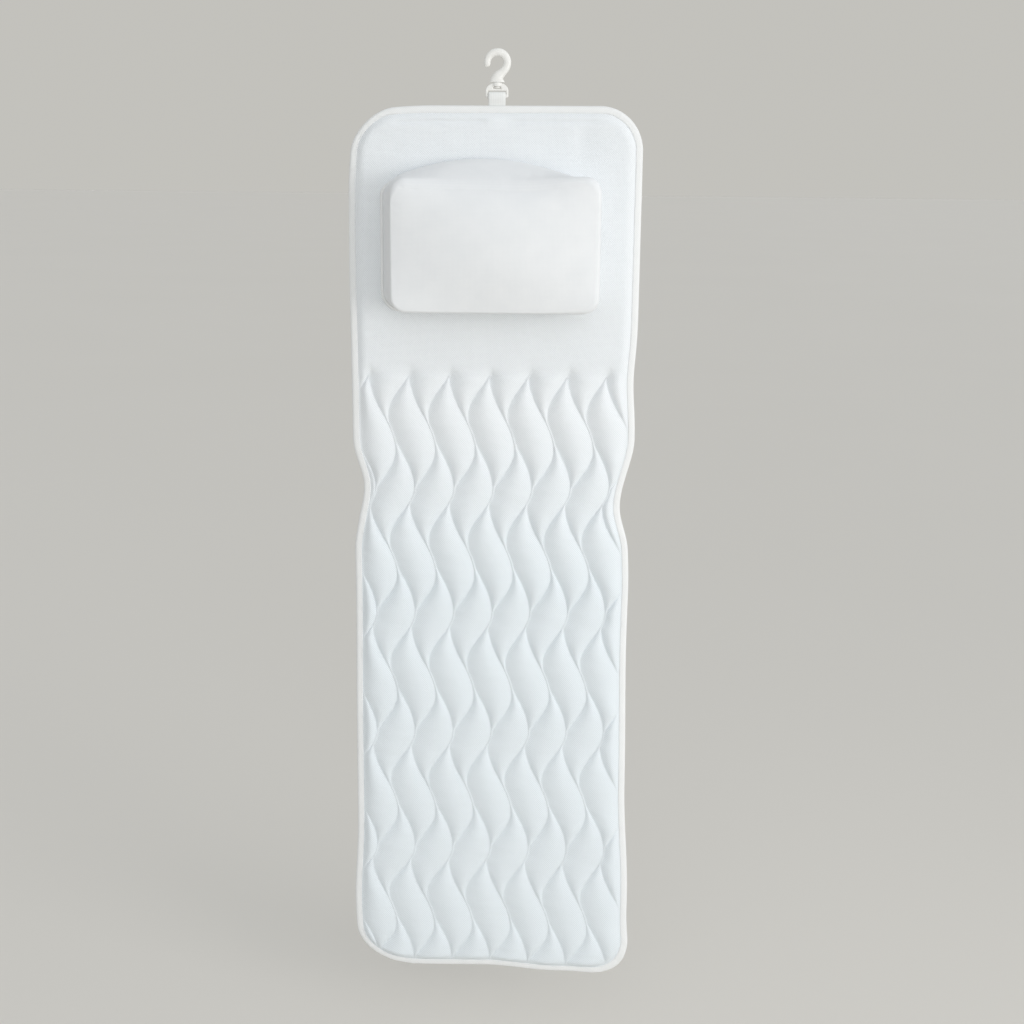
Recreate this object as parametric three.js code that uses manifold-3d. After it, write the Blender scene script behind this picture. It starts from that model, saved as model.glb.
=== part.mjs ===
// Full-body bath pillow: a wave-quilted mat with a headrest sewn to its front, hung by a swivel hook.
// Millimetres, +Z up, front towards -Y. The origin is the point where the hook's bow hangs on a rail.
import * as THREE from "three";
import { mergeVertices } from "three/addons/utils/BufferGeometryUtils.js";
import Module from "manifold-3d";

const wasm = await Module();
wasm.setup();
const { PI, abs, ceil, cos, hypot, max, min, sign, sin, sqrt } = Math;
const DEGREE = PI / 180;

// Clearances
const SEW_GAP = 0.3; // between layers that are sewn or pressed together
const RUN_GAP = 0.3; // between faces that turn on each other
const CUT_OVERRUN = 5; // how far a cutting solid runs past what it cuts
const WELD = 1e-4; // points closer than this are one point

// Mat outline, seen from the front
const MAT_WIDTH = 400;
const MAT_LENGTH = 1270;
const CORNER_RADIUS = 60;
const CORNER_STEPS = 6;
const WAIST_DROP = 535; // top edge to the waist, where the mat folds
const WAIST_DEPTH = 14; // how far each side is drawn in there
const WAIST_REACH = 84; // length over which a side is drawn in, above and below
const WAIST_STEPS = 4;

// Mat layers, from front to back
const MARGIN_THICKNESS = 2.2; // quilted front where the binding grips it
const PLAIN_THICKNESS = 10; // quilted front behind and around the headrest
const VALLEY_THICKNESS = 4; // quilted front along a stitch line
const CHANNEL_RISE = 9; // height of a full channel's crown above its stitch lines
const CHANNEL_FULL_WIDTH = 40; // width from which a channel is fully puffed
const SEAM_MARGIN = 12; // flat margin between the mat's edge and the padding
const EDGE_ROLL = 16; // width over which the padding rounds down to the margin
const CORE_EDGE = 3; // spacer core where the binding grips it
const CORE_THICKNESS = 10;
const CORE_BEVEL = 18; // width over which the core thins to its edge
const BACK_THICKNESS = 1.5;

// Edge binding, a tape folded round the edge of all layers
const BINDING_THICKNESS = 1.4;
const BINDING_WIDTH = 10;
const BINDING_ROUND = 2.5;

// Wave quilting: two families of wavy stitch lines that nearly touch and part again
const QUILT_TOP = 351; // top edge to the first stitches
const QUILT_FADE = 36; // length over which the first channels deepen
const QUILT_PITCH = 56; // spacing of the lines of one family
const QUILT_LINES = 6; // lines in each family
const FIRST_LINE = -157; // mean place of the first line, from the centreline
const FAMILY_SHIFT = 25.6; // second family, to the right of the first
const WAVE_SWING = 18; // sideways swing of a line to each side
const WAVE_LENGTH = 182;
const WAVE_START = 366; // top edge to the first family's first leftmost point
const WAVE_RISE = 106; // part of a wave's length that runs to the right
const FAMILY_DELAY = 55; // how much lower the second family's waves lie
const LINE_GAP = 2.5; // least distance between two stitch lines
const ROW_STEP = 25; // spacing of the mesh rows along the mat

// Headrest, a box cushion with a crown
const HEADREST_WIDTH = 300;
const HEADREST_HEIGHT = 200;
const HEADREST_DROP = 77; // mat's top edge to the headrest's top edge
const HEADREST_CORNER = 24;
const HEADREST_ROUNDING = 0.5; // least corner radius of a ring, as a share of the foot's
const HEADREST_CORNER_STEPS = 3;
const HEADREST_SIDE_STEPS = 4;
const HEADREST_WALL = 62; // height of the walls below the face's rounded edge
const HEADREST_TOP_LEAN = 20; // how far the top wall leans in over that height
const HEADREST_SIDE_LEAN = 8;
const HEADREST_BOTTOM_LEAN = 5;
const HEADREST_SWELL = 4; // how far the walls swell out halfway up
const HEADREST_SHOULDER = 10; // radius of the rounded edge round the face
const SHOULDER_STEPS = 3;
const HEADREST_CROWN = 8; // rise of the face from its shoulder to its middle
const CROWN_SHARES = [0.4, 0.8]; // where the crown's rings lie on the way to the middle
const HEADREST_DRAW_IN = 2; // how far the sides are drawn in between the corners
const HEADREST_COVER = 2.5;
const HEADREST_BACK = 1.5;
const PIPING_RADIUS = 2;
const PIPING_SIDES = 6;

// Hook: a bow, an S-shaped shank and a pin that turns in the base
const BOW_INNER_RADIUS = 8.6;
const ROD_WIDTH = 9.6;
const ROD_DEPTH = 8;
const TIP_WIDTH = 7.4;
const TIP_SHARES = [0.15, 0.5, 0.8]; // where the rounded tip's rings lie on the way to its end
const TIP_ANGLE = 197; // degrees, anticlockwise from the right
const SHANK_ANGLE = -35; // degrees, where the bow leaves its circle
const SHANK_EASE = 10; // length of the shank's handles
const SHANK_DROP = 25.4; // bow centre to the collar that bears on the base
const COLLAR_WIDTH = 15; // the shank flares to this width at its collar
const COLLAR_DEPTH = 11;
const ROD_SIDES = 12;
const BOW_STEPS = 16;
const SHANK_STEPS = 7;
const PIN_RADIUS = 3.2;
const KNOB_RADIUS = 4.6;
const KNOB_HEIGHT = 2.4;

// Swivel base: a domed frame with a window for the webbing, and a recess above it where the knob turns
const BASE_ARM = 3.2; // width of the frame beside the window
const BASE_DEPTH = 6;
const BASE_BEVEL = 1.4;
const BEVEL_SHARE = 0.45; // most of a wall that its bevel may take
const BEVEL_STEPS = 2;
const BASE_CURVE_STEPS = 6;
const BASE_FOOT_RADIUS = 3;
const BOSS_RADIUS = 6.4;
const BOSS_HEIGHT = 5;
const RECESS_HEIGHT = 6;
const RECESS_CHAMFER = 2;
const WINDOW_HEIGHT = 4;
const BAR_HEIGHT = 5;

// Webbing loop between the base's bar and the mat
const WEBBING_WIDTH = 23;
const WEBBING_THICKNESS = 1.5;
const WEBBING_DROP = 12.5; // middle of the bar to the mat's top edge
const WEBBING_TAIL = 26; // length held between the mat's layers
const WEBBING_NECK = 2.6; // loop's underside to where the two layers meet
const WEBBING_PLAY = 0.6; // room beside the webbing in the window, on each side
const WEBBING_WRAP = 20; // degrees that the loop runs on below the bar's middle, on each side
const WEBBING_CURVE_STEPS = 12;

// Suction cups on the back, pressed through eyelets in the back cover
const CUP_SPREAD = 280; // distance between the two columns
const CUP_END_DISTANCE = 64; // mat's end edge to the nearest row
const CUP_WAIST_DISTANCE = 92; // waist to the nearest row
const UPPER_CUP_ROWS = 3;
const LOWER_CUP_ROWS = 4;
const CUP_RADIUS = 23;
const CUP_RIM = 2.5;
const CUP_HEIGHT = 13;
const CUP_SHOULDER = 9; // radius of the cup's flat foot against the back cover
const CUP_WALL = 3.5; // thickness of the cup at its middle
const CUP_FLARE = 0.4; // share of its height at which the cup is halfway out to its rim
const CUP_HOLLOW = 0.15; // share of its height by which the hollow's floor rises at the shoulder
const CUP_LIP = 0.6; // thickness of the rim's outer edge
const CUP_NECK = 3.5;
const CUP_HEAD_RADIUS = 7;
const CUP_HEAD = 3;
const CUP_SIDES = 12;

// Layers worked out from the sizes above; the back of the quilted front lies at y = 0 in the mat
const LAYER_INSET = BINDING_THICKNESS + SEW_GAP;
const CORE_FRONT = SEW_GAP;
const CORE_BACK = CORE_FRONT + CORE_THICKNESS;
const CORE_EDGE_BACK = CORE_FRONT + CORE_EDGE;
const BACK_EDGE_INNER = CORE_EDGE_BACK + SEW_GAP;
const BACK_INNER = CORE_BACK + SEW_GAP;
const BACK_OUTER = BACK_INNER + BACK_THICKNESS;
const TAIL_MIDDLE = CORE_FRONT + CORE_EDGE / 2;
const TAIL_THICKNESS = min(2 * WEBBING_THICKNESS, CORE_EDGE);
const BOW_CENTRE = -BOW_INNER_RADIUS;
const COLLAR = BOW_CENTRE - SHANK_DROP;
const BASE_TOP = COLLAR - RUN_GAP;
const RECESS_TOP = BASE_TOP - BOSS_HEIGHT;
const RECESS_WIDTH = 2 * (KNOB_RADIUS + RUN_GAP + RECESS_CHAMFER);
const WINDOW_TOP = RECESS_TOP - RECESS_HEIGHT;
const WINDOW_BOTTOM = WINDOW_TOP - WINDOW_HEIGHT;
const BAR_MIDDLE = WINDOW_BOTTOM - BAR_HEIGHT / 2;
const WINDOW_WIDTH = WEBBING_WIDTH + 2 * WEBBING_PLAY;
const WEBBING_BORE = hypot(BAR_HEIGHT, BASE_DEPTH) / 2 + RUN_GAP;

// The two halves of the mat. A place e is measured from the half's own end edge towards the waist.
const UPPER = {
  length: WAIST_DROP - SEW_GAP / 2,
  depthOf: (e) => e,
  cupRows: UPPER_CUP_ROWS,
};
const LOWER = {
  length: MAT_LENGTH - WAIST_DROP - SEW_GAP / 2,
  depthOf: (e) => MAT_LENGTH - e,
  cupRows: LOWER_CUP_ROWS,
};

const material = (color, roughness) => new THREE.MeshStandardMaterial({ color, roughness, metalness: 0 });
const MESH_FABRIC = material(0xdfe6ea, 0.9);
const PLAIN_FABRIC = material(0xe6e7e8, 0.9);
const BINDING_FABRIC = material(0xf1f2f2, 0.85);
const FILLING = material(0xf3f3ee, 0.95);
const HOOK_PLASTIC = material(0xf1efea, 0.3);
const CUP_VINYL = material(0xdfe4e4, 0.2);

// A closed surface from points and index triples, turned so that its faces point outwards.
function closedGeometry(points, triangles) {
  const normal = new THREE.Vector3();
  let volume = 0;
  for (const [a, b, c] of triangles) {
    volume += points[a].dot(normal.crossVectors(points[b], points[c]));
  }
  const index = triangles.flatMap(([a, b, c]) => (volume < 0 ? [a, c, b] : [a, b, c]));
  const geometry = new THREE.BufferGeometry().setFromPoints(points).setIndex(index);
  geometry.computeVertexNormals();
  return geometry;
}

// Triangles of a flat ring seen along one axis, wound the way the ring runs.
function capTriangles(ring, axis) {
  const flat = ring.map((p) => new THREE.Vector2(p.x, axis === "y" ? p.z : p.y));
  const ringSign = sign(THREE.ShapeUtils.area(flat));
  return THREE.ShapeUtils.triangulateShape(flat, []).map(([a, b, c]) => {
    const same = sign(THREE.ShapeUtils.area([flat[a], flat[b], flat[c]])) === ringSign;
    return same ? [a, b, c] : [a, c, b];
  });
}

// The walls between neighbouring rings of equal point counts.
function wallTriangles(ringCount, count, closed) {
  const triangles = [];
  for (let r = 0; r < (closed ? ringCount : ringCount - 1); r++) {
    for (let i = 0; i < count; i++) {
      const a = r * count + i;
      const b = r * count + ((i + 1) % count);
      const next = ((r + 1) % ringCount) * count;
      triangles.push([a, b, next + i], [b, next + ((i + 1) % count), next + i]);
    }
  }
  return triangles;
}

// A solid lofted through rings, with flat ends that are seen along one axis.
function loft(rings, endAxis) {
  const count = rings[0].length;
  const last = (rings.length - 1) * count;
  const start = capTriangles(rings[0], endAxis).map(([a, b, c]) => [a, c, b]);
  const end = capTriangles(rings.at(-1), endAxis).map((t) => t.map((i) => last + i));
  return closedGeometry(rings.flat(), [...wallTriangles(rings.length, count, false), ...start, ...end]);
}

// A solid lofted through rings that come back to the first one.
function closedLoft(rings) {
  return closedGeometry(rings.flat(), wallTriangles(rings.length, rings[0].length, true));
}

function toManifold(geometry) {
  const bare = geometry.clone();
  bare.deleteAttribute("normal");
  bare.deleteAttribute("uv");
  const merged = mergeVertices(bare, WELD);
  return new wasm.Manifold(
    new wasm.Mesh({
      numProp: 3,
      vertProperties: merged.attributes.position.array,
      triVerts: new Uint32Array(merged.index.array),
    }),
  );
}

function toGeometry(solid) {
  const mesh = solid.getMesh();
  const geometry = new THREE.BufferGeometry();
  geometry.setAttribute("position", new THREE.BufferAttribute(mesh.vertProperties, 3));
  geometry.setIndex(new THREE.BufferAttribute(mesh.triVerts, 1));
  geometry.computeVertexNormals();
  return geometry;
}

function subtract(geometry, cutters) {
  const solid = cutters.reduce((left, cutter) => left.subtract(toManifold(cutter)), toManifold(geometry));
  return toGeometry(solid);
}

function drawIn(half, e) {
  const share = (half.length - e) / WAIST_REACH;
  return share < 1 ? WAIST_DEPTH * cos((share * PI) / 2) ** 2 : 0;
}

// Points of one side of a half's edge, from the waist to the middle of the end edge.
function edgeStations(half, inset) {
  const stations = [];
  for (let i = 0; i <= WAIST_STEPS; i++) {
    const e = half.length - (i / WAIST_STEPS) * WAIST_REACH;
    stations.push({ x: MAT_WIDTH / 2 - inset - drawIn(half, e), e });
  }
  const radius = CORNER_RADIUS - inset;
  for (let i = 0; i <= CORNER_STEPS; i++) {
    const angle = (i / CORNER_STEPS) * (PI / 2);
    const x = MAT_WIDTH / 2 - CORNER_RADIUS + radius * cos(angle);
    stations.push({ x, e: CORNER_RADIUS - radius * sin(angle) });
  }
  return stations;
}

// The closed outline of a half at one depth; the waist end may run on past the fold.
function outline(half, inset, y, overrun = 0) {
  const side = edgeStations(half, inset);
  side[0].e += overrun;
  const right = side.map(({ x, e }) => new THREE.Vector3(x, y, -half.depthOf(e)));
  const left = right.map((p) => new THREE.Vector3(-p.x, p.y, p.z)).reverse();
  return [...right, ...left];
}

// Mesh rows of the quilted front: the edge's own stations, rows between them and one on the seam.
function quiltRows(half) {
  const stations = edgeStations(half, LAYER_INSET);
  const waist = stations.slice(0, WAIST_STEPS + 1);
  const corner = stations.slice(WAIST_STEPS + 1);
  const from = waist.at(-1);
  const to = corner[0];
  const count = max(1, ceil((from.e - to.e) / ROW_STEP));
  const between = Array.from({ length: count - 1 }, (_, i) => {
    const share = (i + 1) / count;
    return { x: from.x + (to.x - from.x) * share, e: from.e + (to.e - from.e) * share };
  });
  const rows = [...waist, ...between, ...corner];
  const before = rows.findLastIndex((row) => row.e > SEAM_MARGIN);
  const a = rows[before];
  const b = rows[before + 1];
  const share = (a.e - SEAM_MARGIN) / (a.e - b.e);
  rows.splice(before + 1, 0, { x: a.x + (b.x - a.x) * share, e: SEAM_MARGIN });
  return rows;
}

// Distance from a point of a half to the mat's edge.
function edgeDistance(half, x, e) {
  const cornerX = abs(x) - (MAT_WIDTH / 2 - CORNER_RADIUS);
  const cornerE = CORNER_RADIUS - e;
  if (cornerX > 0 && cornerE > 0) {
    return CORNER_RADIUS - hypot(cornerX, cornerE);
  }
  return min(MAT_WIDTH / 2 - abs(x) - drawIn(half, e), e);
}

// Half width of the padded field inside the flat margin.
function fieldHalfWidth(half, e) {
  if (e >= CORNER_RADIUS) {
    return MAT_WIDTH / 2 - SEAM_MARGIN - drawIn(half, e);
  }
  const rise = max(0, (CORNER_RADIUS - SEAM_MARGIN) ** 2 - (CORNER_RADIUS - e) ** 2);
  return MAT_WIDTH / 2 - CORNER_RADIUS + sqrt(rise);
}

// Sideways place of a stitch line's wave: it swings right over its rise and back over the rest.
function wave(depth) {
  const along = (((depth - WAVE_START) % WAVE_LENGTH) + WAVE_LENGTH) % WAVE_LENGTH;
  if (along < WAVE_RISE) {
    return -WAVE_SWING * cos((PI * along) / WAVE_RISE);
  }
  return WAVE_SWING * cos((PI * (along - WAVE_RISE)) / (WAVE_LENGTH - WAVE_RISE));
}

// Stitch lines across the mat at one depth, in order, kept apart and inside the field.
function stitchLines(depth, field) {
  const stitched = max(depth, QUILT_TOP);
  const lines = [];
  for (let k = 0; k < QUILT_LINES; k++) {
    const mean = FIRST_LINE + k * QUILT_PITCH;
    lines.push(mean + wave(stitched));
    lines.push(mean + FAMILY_SHIFT + wave(stitched - FAMILY_DELAY));
  }
  lines.forEach((x, i) => {
    lines[i] = max(x, (i ? lines[i - 1] : -field) + LINE_GAP);
  });
  for (let i = lines.length - 1; i >= 0; i--) {
    lines[i] = min(lines[i], (i + 1 < lines.length ? lines[i + 1] : field) - LINE_GAP);
  }
  return lines;
}

// One row of the quilted front: margin, field edge, then crown and stitch line in turn.
function quiltRow(half, row) {
  const depth = half.depthOf(row.e);
  const field = min(fieldHalfWidth(half, row.e), row.x - LINE_GAP);
  const valleys = [-field, ...stitchLines(depth, field), field];
  const share = min(1, max(0, (depth - QUILT_TOP) / QUILT_FADE));
  const quilted = share * share * (3 - 2 * share);
  const point = (x, puff) => {
    const full = PLAIN_THICKNESS + (puff - PLAIN_THICKNESS) * quilted;
    const roll = min(1, max(0, (edgeDistance(half, x, row.e) - SEAM_MARGIN) / EDGE_ROLL));
    const thickness = MARGIN_THICKNESS + (full - MARGIN_THICKNESS) * sin((roll * PI) / 2);
    return new THREE.Vector3(x, -thickness, -depth);
  };
  const points = [point(-row.x, VALLEY_THICKNESS), point(valleys[0], VALLEY_THICKNESS)];
  for (let i = 1; i < valleys.length; i++) {
    const width = valleys[i] - valleys[i - 1];
    const slack = 1 - min(1, width / CHANNEL_FULL_WIDTH);
    const crown = VALLEY_THICKNESS + CHANNEL_RISE * (1 - slack * slack);
    points.push(point((valleys[i] + valleys[i - 1]) / 2, crown));
    points.push(point(valleys[i], VALLEY_THICKNESS));
  }
  points.push(point(row.x, VALLEY_THICKNESS));
  return points;
}

// The quilted front of a half: a field of crowned channels between the stitch lines, with a flat back.
function quiltedFront(half) {
  const grid = quiltRows(half).map((row) => quiltRow(half, row));
  const columns = grid[0].length;
  const lastRow = grid.length - 1;
  const points = grid.flat();
  const triangles = [];
  for (let r = 0; r < lastRow; r++) {
    for (let c = 0; c + 1 < columns; c++) {
      const a = r * columns + c;
      const b = a + columns;
      triangles.push([a, a + 1, b], [a + 1, b + 1, b]);
    }
  }
  const backOf = new Map();
  const back = (r, c) => {
    const i = r * columns + c;
    if (!backOf.has(i)) {
      backOf.set(i, points.length);
      points.push(new THREE.Vector3(points[i].x, 0, points[i].z));
    }
    return backOf.get(i);
  };
  const wall = (r0, c0, r1, c1) => {
    const a = r0 * columns + c0;
    const b = r1 * columns + c1;
    triangles.push([b, a, back(r0, c0)], [b, back(r0, c0), back(r1, c1)]);
  };
  const right = columns - 1;
  for (let c = 0; c < right; c++) {
    wall(0, c, 0, c + 1);
    wall(lastRow, c + 1, lastRow, c);
    triangles.push([back(0, c + 1), back(0, c), back(1, 0)]);
    triangles.push([back(lastRow, c), back(lastRow, c + 1), back(lastRow - 1, right)]);
  }
  for (let r = 0; r < lastRow; r++) {
    wall(r + 1, 0, r, 0);
    wall(r, right, r + 1, right);
  }
  triangles.push([back(0, right), back(1, 0), back(1, right)]);
  triangles.push([back(lastRow, 0), back(lastRow - 1, right), back(lastRow - 1, 0)]);
  for (let r = 1; r + 1 < lastRow; r++) {
    triangles.push([back(r, right), back(r, 0), back(r + 1, 0)]);
    triangles.push([back(r, right), back(r + 1, 0), back(r + 1, right)]);
  }
  return closedGeometry(points, triangles);
}

// Places of a half's suction cups, row by row from the end edge to the waist.
function cupPlaces(half) {
  const run = half.length - CUP_END_DISTANCE - CUP_WAIST_DISTANCE;
  return Array.from({ length: half.cupRows }, (_, row) => {
    const e = CUP_END_DISTANCE + (run * row) / max(1, half.cupRows - 1);
    return [
      { side: "left", row: row + 1, x: -CUP_SPREAD / 2, z: -half.depthOf(e) },
      { side: "right", row: row + 1, x: CUP_SPREAD / 2, z: -half.depthOf(e) },
    ];
  }).flat();
}

// A round cutter through the mat from one depth to another, at a cup's place.
function cupCutter(place, radius, fromY, toY) {
  const cutter = new THREE.CylinderGeometry(radius, radius, toY - fromY, CUP_SIDES);
  return cutter.translate(place.x, (fromY + toY) / 2, place.z);
}

// A box that clears the webbing's tail where it enters the mat's top edge.
function tailCutter() {
  const length = WEBBING_TAIL + SEW_GAP + CUT_OVERRUN;
  const cutter = new THREE.BoxGeometry(WEBBING_WIDTH + 2 * SEW_GAP, CORE_EDGE + 2 * SEW_GAP, length);
  return cutter.translate(0, TAIL_MIDDLE, length / 2 - WEBBING_TAIL - SEW_GAP);
}

// Clears the tail's whole pocket in the core, through to the core's back.
function tailPocket() {
  const length = WEBBING_TAIL + SEW_GAP + CUT_OVERRUN;
  const depth = CORE_BACK + 2 * CUT_OVERRUN;
  const cutter = new THREE.BoxGeometry(WEBBING_WIDTH + 2 * SEW_GAP, depth, length);
  return cutter.translate(0, CORE_BACK / 2, length / 2 - WEBBING_TAIL - SEW_GAP);
}

// The spacer core: a flat pad that thins to its bound edge, with a pocket for each cup's head.
function spacerCore(half) {
  const body = loft(
    [
      outline(half, LAYER_INSET, CORE_FRONT),
      outline(half, LAYER_INSET, CORE_EDGE_BACK),
      outline(half, SEAM_MARGIN, CORE_EDGE_BACK),
      outline(half, SEAM_MARGIN + CORE_BEVEL, CORE_BACK),
    ],
    "y",
  );
  const pocketFront = CORE_BACK - CUP_HEAD - SEW_GAP;
  const cuts = cupPlaces(half).map((place) =>
    cupCutter(place, CUP_HEAD_RADIUS + SEW_GAP, pocketFront, CORE_BACK + CUT_OVERRUN),
  );
  return subtract(body, half === UPPER ? [...cuts, tailPocket()] : cuts);
}

// The back cover: a shallow tray of fabric over the core, with an eyelet for each cup.
function backCover(half) {
  const outer = loft(
    [
      outline(half, LAYER_INSET, BACK_EDGE_INNER),
      outline(half, LAYER_INSET, BACK_EDGE_INNER + BACK_THICKNESS),
      outline(half, SEAM_MARGIN, BACK_EDGE_INNER + BACK_THICKNESS),
      outline(half, SEAM_MARGIN + CORE_BEVEL, BACK_OUTER),
    ],
    "y",
  );
  const inner = loft(
    [
      outline(half, SEAM_MARGIN, BACK_EDGE_INNER - CUT_OVERRUN, CUT_OVERRUN),
      outline(half, SEAM_MARGIN, BACK_EDGE_INNER, CUT_OVERRUN),
      outline(half, SEAM_MARGIN + CORE_BEVEL, BACK_INNER, CUT_OVERRUN),
    ],
    "y",
  );
  const eyelets = cupPlaces(half).map((place) =>
    cupCutter(place, CUP_NECK + SEW_GAP, BACK_INNER - CUT_OVERRUN, BACK_OUTER + CUT_OVERRUN),
  );
  return subtract(outer, [inner, ...eyelets]);
}

// The edge binding: a U of tape swept along the edge, with a slit for the webbing in the top edge.
function edgeBinding(half) {
  const frontInner = -MARGIN_THICKNESS - SEW_GAP;
  const frontOuter = frontInner - BINDING_THICKNESS;
  const backInner = BACK_EDGE_INNER + BACK_THICKNESS + SEW_GAP;
  const backOuter = backInner + BINDING_THICKNESS;
  const section = [
    [BINDING_WIDTH, frontInner],
    [BINDING_THICKNESS, frontInner],
    [BINDING_THICKNESS, backInner],
    [BINDING_WIDTH, backInner],
    [BINDING_WIDTH, backOuter],
    [BINDING_ROUND, backOuter],
    [0, backOuter - BINDING_ROUND],
    [0, frontOuter + BINDING_ROUND],
    [BINDING_ROUND, frontOuter],
    [BINDING_WIDTH, frontOuter],
  ];
  const sides = section.map(([inset, y]) =>
    edgeStations(half, inset).map(({ x, e }) => new THREE.Vector3(x, y, -half.depthOf(e))),
  );
  const right = sides[0].map((_, k) => sides.map((side) => side[k]));
  const left = right.map((ring) => ring.map((p) => new THREE.Vector3(-p.x, p.y, p.z))).reverse();
  const body = loft([...right, ...left], "z");
  return half === UPPER ? subtract(body, [tailCutter()]) : body;
}

// A suction cup: a mushroom head and neck behind a hollow dish with a flat rim.
function suctionCup() {
  const foot = BACK_OUTER + SEW_GAP;
  const rim = foot + CUP_HEIGHT;
  const headBack = BACK_INNER - SEW_GAP;
  const profile = [
    [0, headBack - CUP_HEAD],
    [CUP_HEAD_RADIUS, headBack - CUP_HEAD],
    [CUP_HEAD_RADIUS, headBack],
    [CUP_NECK, headBack],
    [CUP_NECK, foot],
    [CUP_SHOULDER, foot],
    [(CUP_SHOULDER + CUP_RADIUS) / 2, foot + CUP_HEIGHT * CUP_FLARE],
    [CUP_RADIUS, rim - CUP_LIP],
    [CUP_RADIUS, rim],
    [CUP_RADIUS - CUP_RIM, rim],
    [CUP_SHOULDER, foot + CUP_WALL + CUP_HEIGHT * CUP_HOLLOW],
    [0, foot + CUP_WALL],
  ];
  return new THREE.LatheGeometry(
    profile.map(([r, y]) => new THREE.Vector2(r, y)),
    CUP_SIDES,
  );
}

// Ring round the headrest at a height above the mat, with its sides drawn in between the corners.
// A lean of 1 is a ring as far in as the top of the walls.
function headrestRing(inset, height, lean = 0) {
  const halfWidth = HEADREST_WIDTH / 2 - inset - HEADREST_SIDE_LEAN * lean;
  const top = HEADREST_HEIGHT / 2 - inset - HEADREST_TOP_LEAN * lean;
  const bottom = HEADREST_HEIGHT / 2 - inset - HEADREST_BOTTOM_LEAN * lean;
  const halfHeight = (top + bottom) / 2;
  const middle = (top - bottom) / 2;
  const radius = max(HEADREST_CORNER - inset, HEADREST_CORNER * HEADREST_ROUNDING);
  const ring = [];
  const corners = [
    [1, 1],
    [-1, 1],
    [-1, -1],
    [1, -1],
  ];
  corners.forEach(([sx, sz], k) => {
    for (let i = 0; i <= HEADREST_CORNER_STEPS; i++) {
      const angle = (k + i / HEADREST_CORNER_STEPS) * (PI / 2);
      const x = sx * (halfWidth - radius) + radius * cos(angle);
      const z = middle + sz * (halfHeight - radius) + radius * sin(angle);
      ring.push(new THREE.Vector3(x, -height, z));
    }
    const from = ring.at(-1);
    const [nx, nz] = corners[(k + 1) % 4];
    const flat = k % 2 === 0;
    const toX = flat ? nx * (halfWidth - radius) : sx * halfWidth;
    const toZ = middle + (flat ? sz * halfHeight : nz * (halfHeight - radius));
    for (let i = 1; i < HEADREST_SIDE_STEPS; i++) {
      const share = i / HEADREST_SIDE_STEPS;
      const pull = HEADREST_DRAW_IN * sin(share * PI);
      const x = from.x + (toX - from.x) * share - (flat ? 0 : sx * pull);
      const z = from.z + (toZ - from.z) * share - (flat ? sz * pull : 0);
      ring.push(new THREE.Vector3(x, -height, z));
    }
  });
  return ring;
}

// Rings from a cushion's foot over its leaning wall and shoulder to the middle of its crown.
function cushionRings(skin, foot) {
  const shoulder = HEADREST_SHOULDER - skin;
  const rings = [headrestRing(skin, foot), headrestRing(skin - HEADREST_SWELL, HEADREST_WALL / 2, 1 / 2)];
  for (let i = 0; i <= SHOULDER_STEPS; i++) {
    const angle = (i / SHOULDER_STEPS) * (PI / 2);
    const inset = skin + shoulder * (1 - cos(angle));
    rings.push(headrestRing(inset, HEADREST_WALL + shoulder * sin(angle), 1));
  }
  const face = (HEADREST_HEIGHT - HEADREST_TOP_LEAN - HEADREST_BOTTOM_LEAN) / 2;
  const reach = face - HEADREST_SHOULDER;
  for (const share of CROWN_SHARES) {
    const rise = HEADREST_CROWN * (1 - (1 - share) ** 2);
    rings.push(headrestRing(HEADREST_SHOULDER + reach * share, HEADREST_WALL + shoulder + rise, 1));
  }
  return rings;
}

const HEADREST_RIM = SEW_GAP + HEADREST_BACK + SEW_GAP;

function headrestCover() {
  const inner = cushionRings(HEADREST_COVER, HEADREST_RIM).reverse();
  return loft([...inner, ...cushionRings(0, HEADREST_RIM)], "y");
}

function headrestFilling() {
  return loft(cushionRings(HEADREST_COVER + SEW_GAP, HEADREST_RIM), "y");
}

function headrestBackPanel() {
  return loft([headrestRing(0, SEW_GAP), headrestRing(0, SEW_GAP + HEADREST_BACK)], "y");
}

// Piping: a cord round the foot of the headrest, in the seam between its cover and the mat.
function headrestPiping() {
  const middle = -PIPING_RADIUS - SEW_GAP;
  const loops = Array.from({ length: PIPING_SIDES }, (_, i) => {
    const angle = ((i + 0.5) / PIPING_SIDES) * 2 * PI;
    const inset = middle + PIPING_RADIUS * cos(angle);
    return headrestRing(inset, SEW_GAP + PIPING_RADIUS + PIPING_RADIUS * sin(angle));
  });
  return closedLoft(loops);
}

// Oval ring across the hook's rod at a point, square to its direction in the hook's plane.
function rodRing(point, direction, width, depth) {
  return Array.from({ length: ROD_SIDES }, (_, i) => {
    const angle = (i / ROD_SIDES) * 2 * PI;
    const across = (width / 2) * cos(angle);
    const x = point.x - direction.y * across;
    const z = point.y + direction.x * across;
    return new THREE.Vector3(x, (depth / 2) * sin(angle), z);
  });
}

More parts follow.
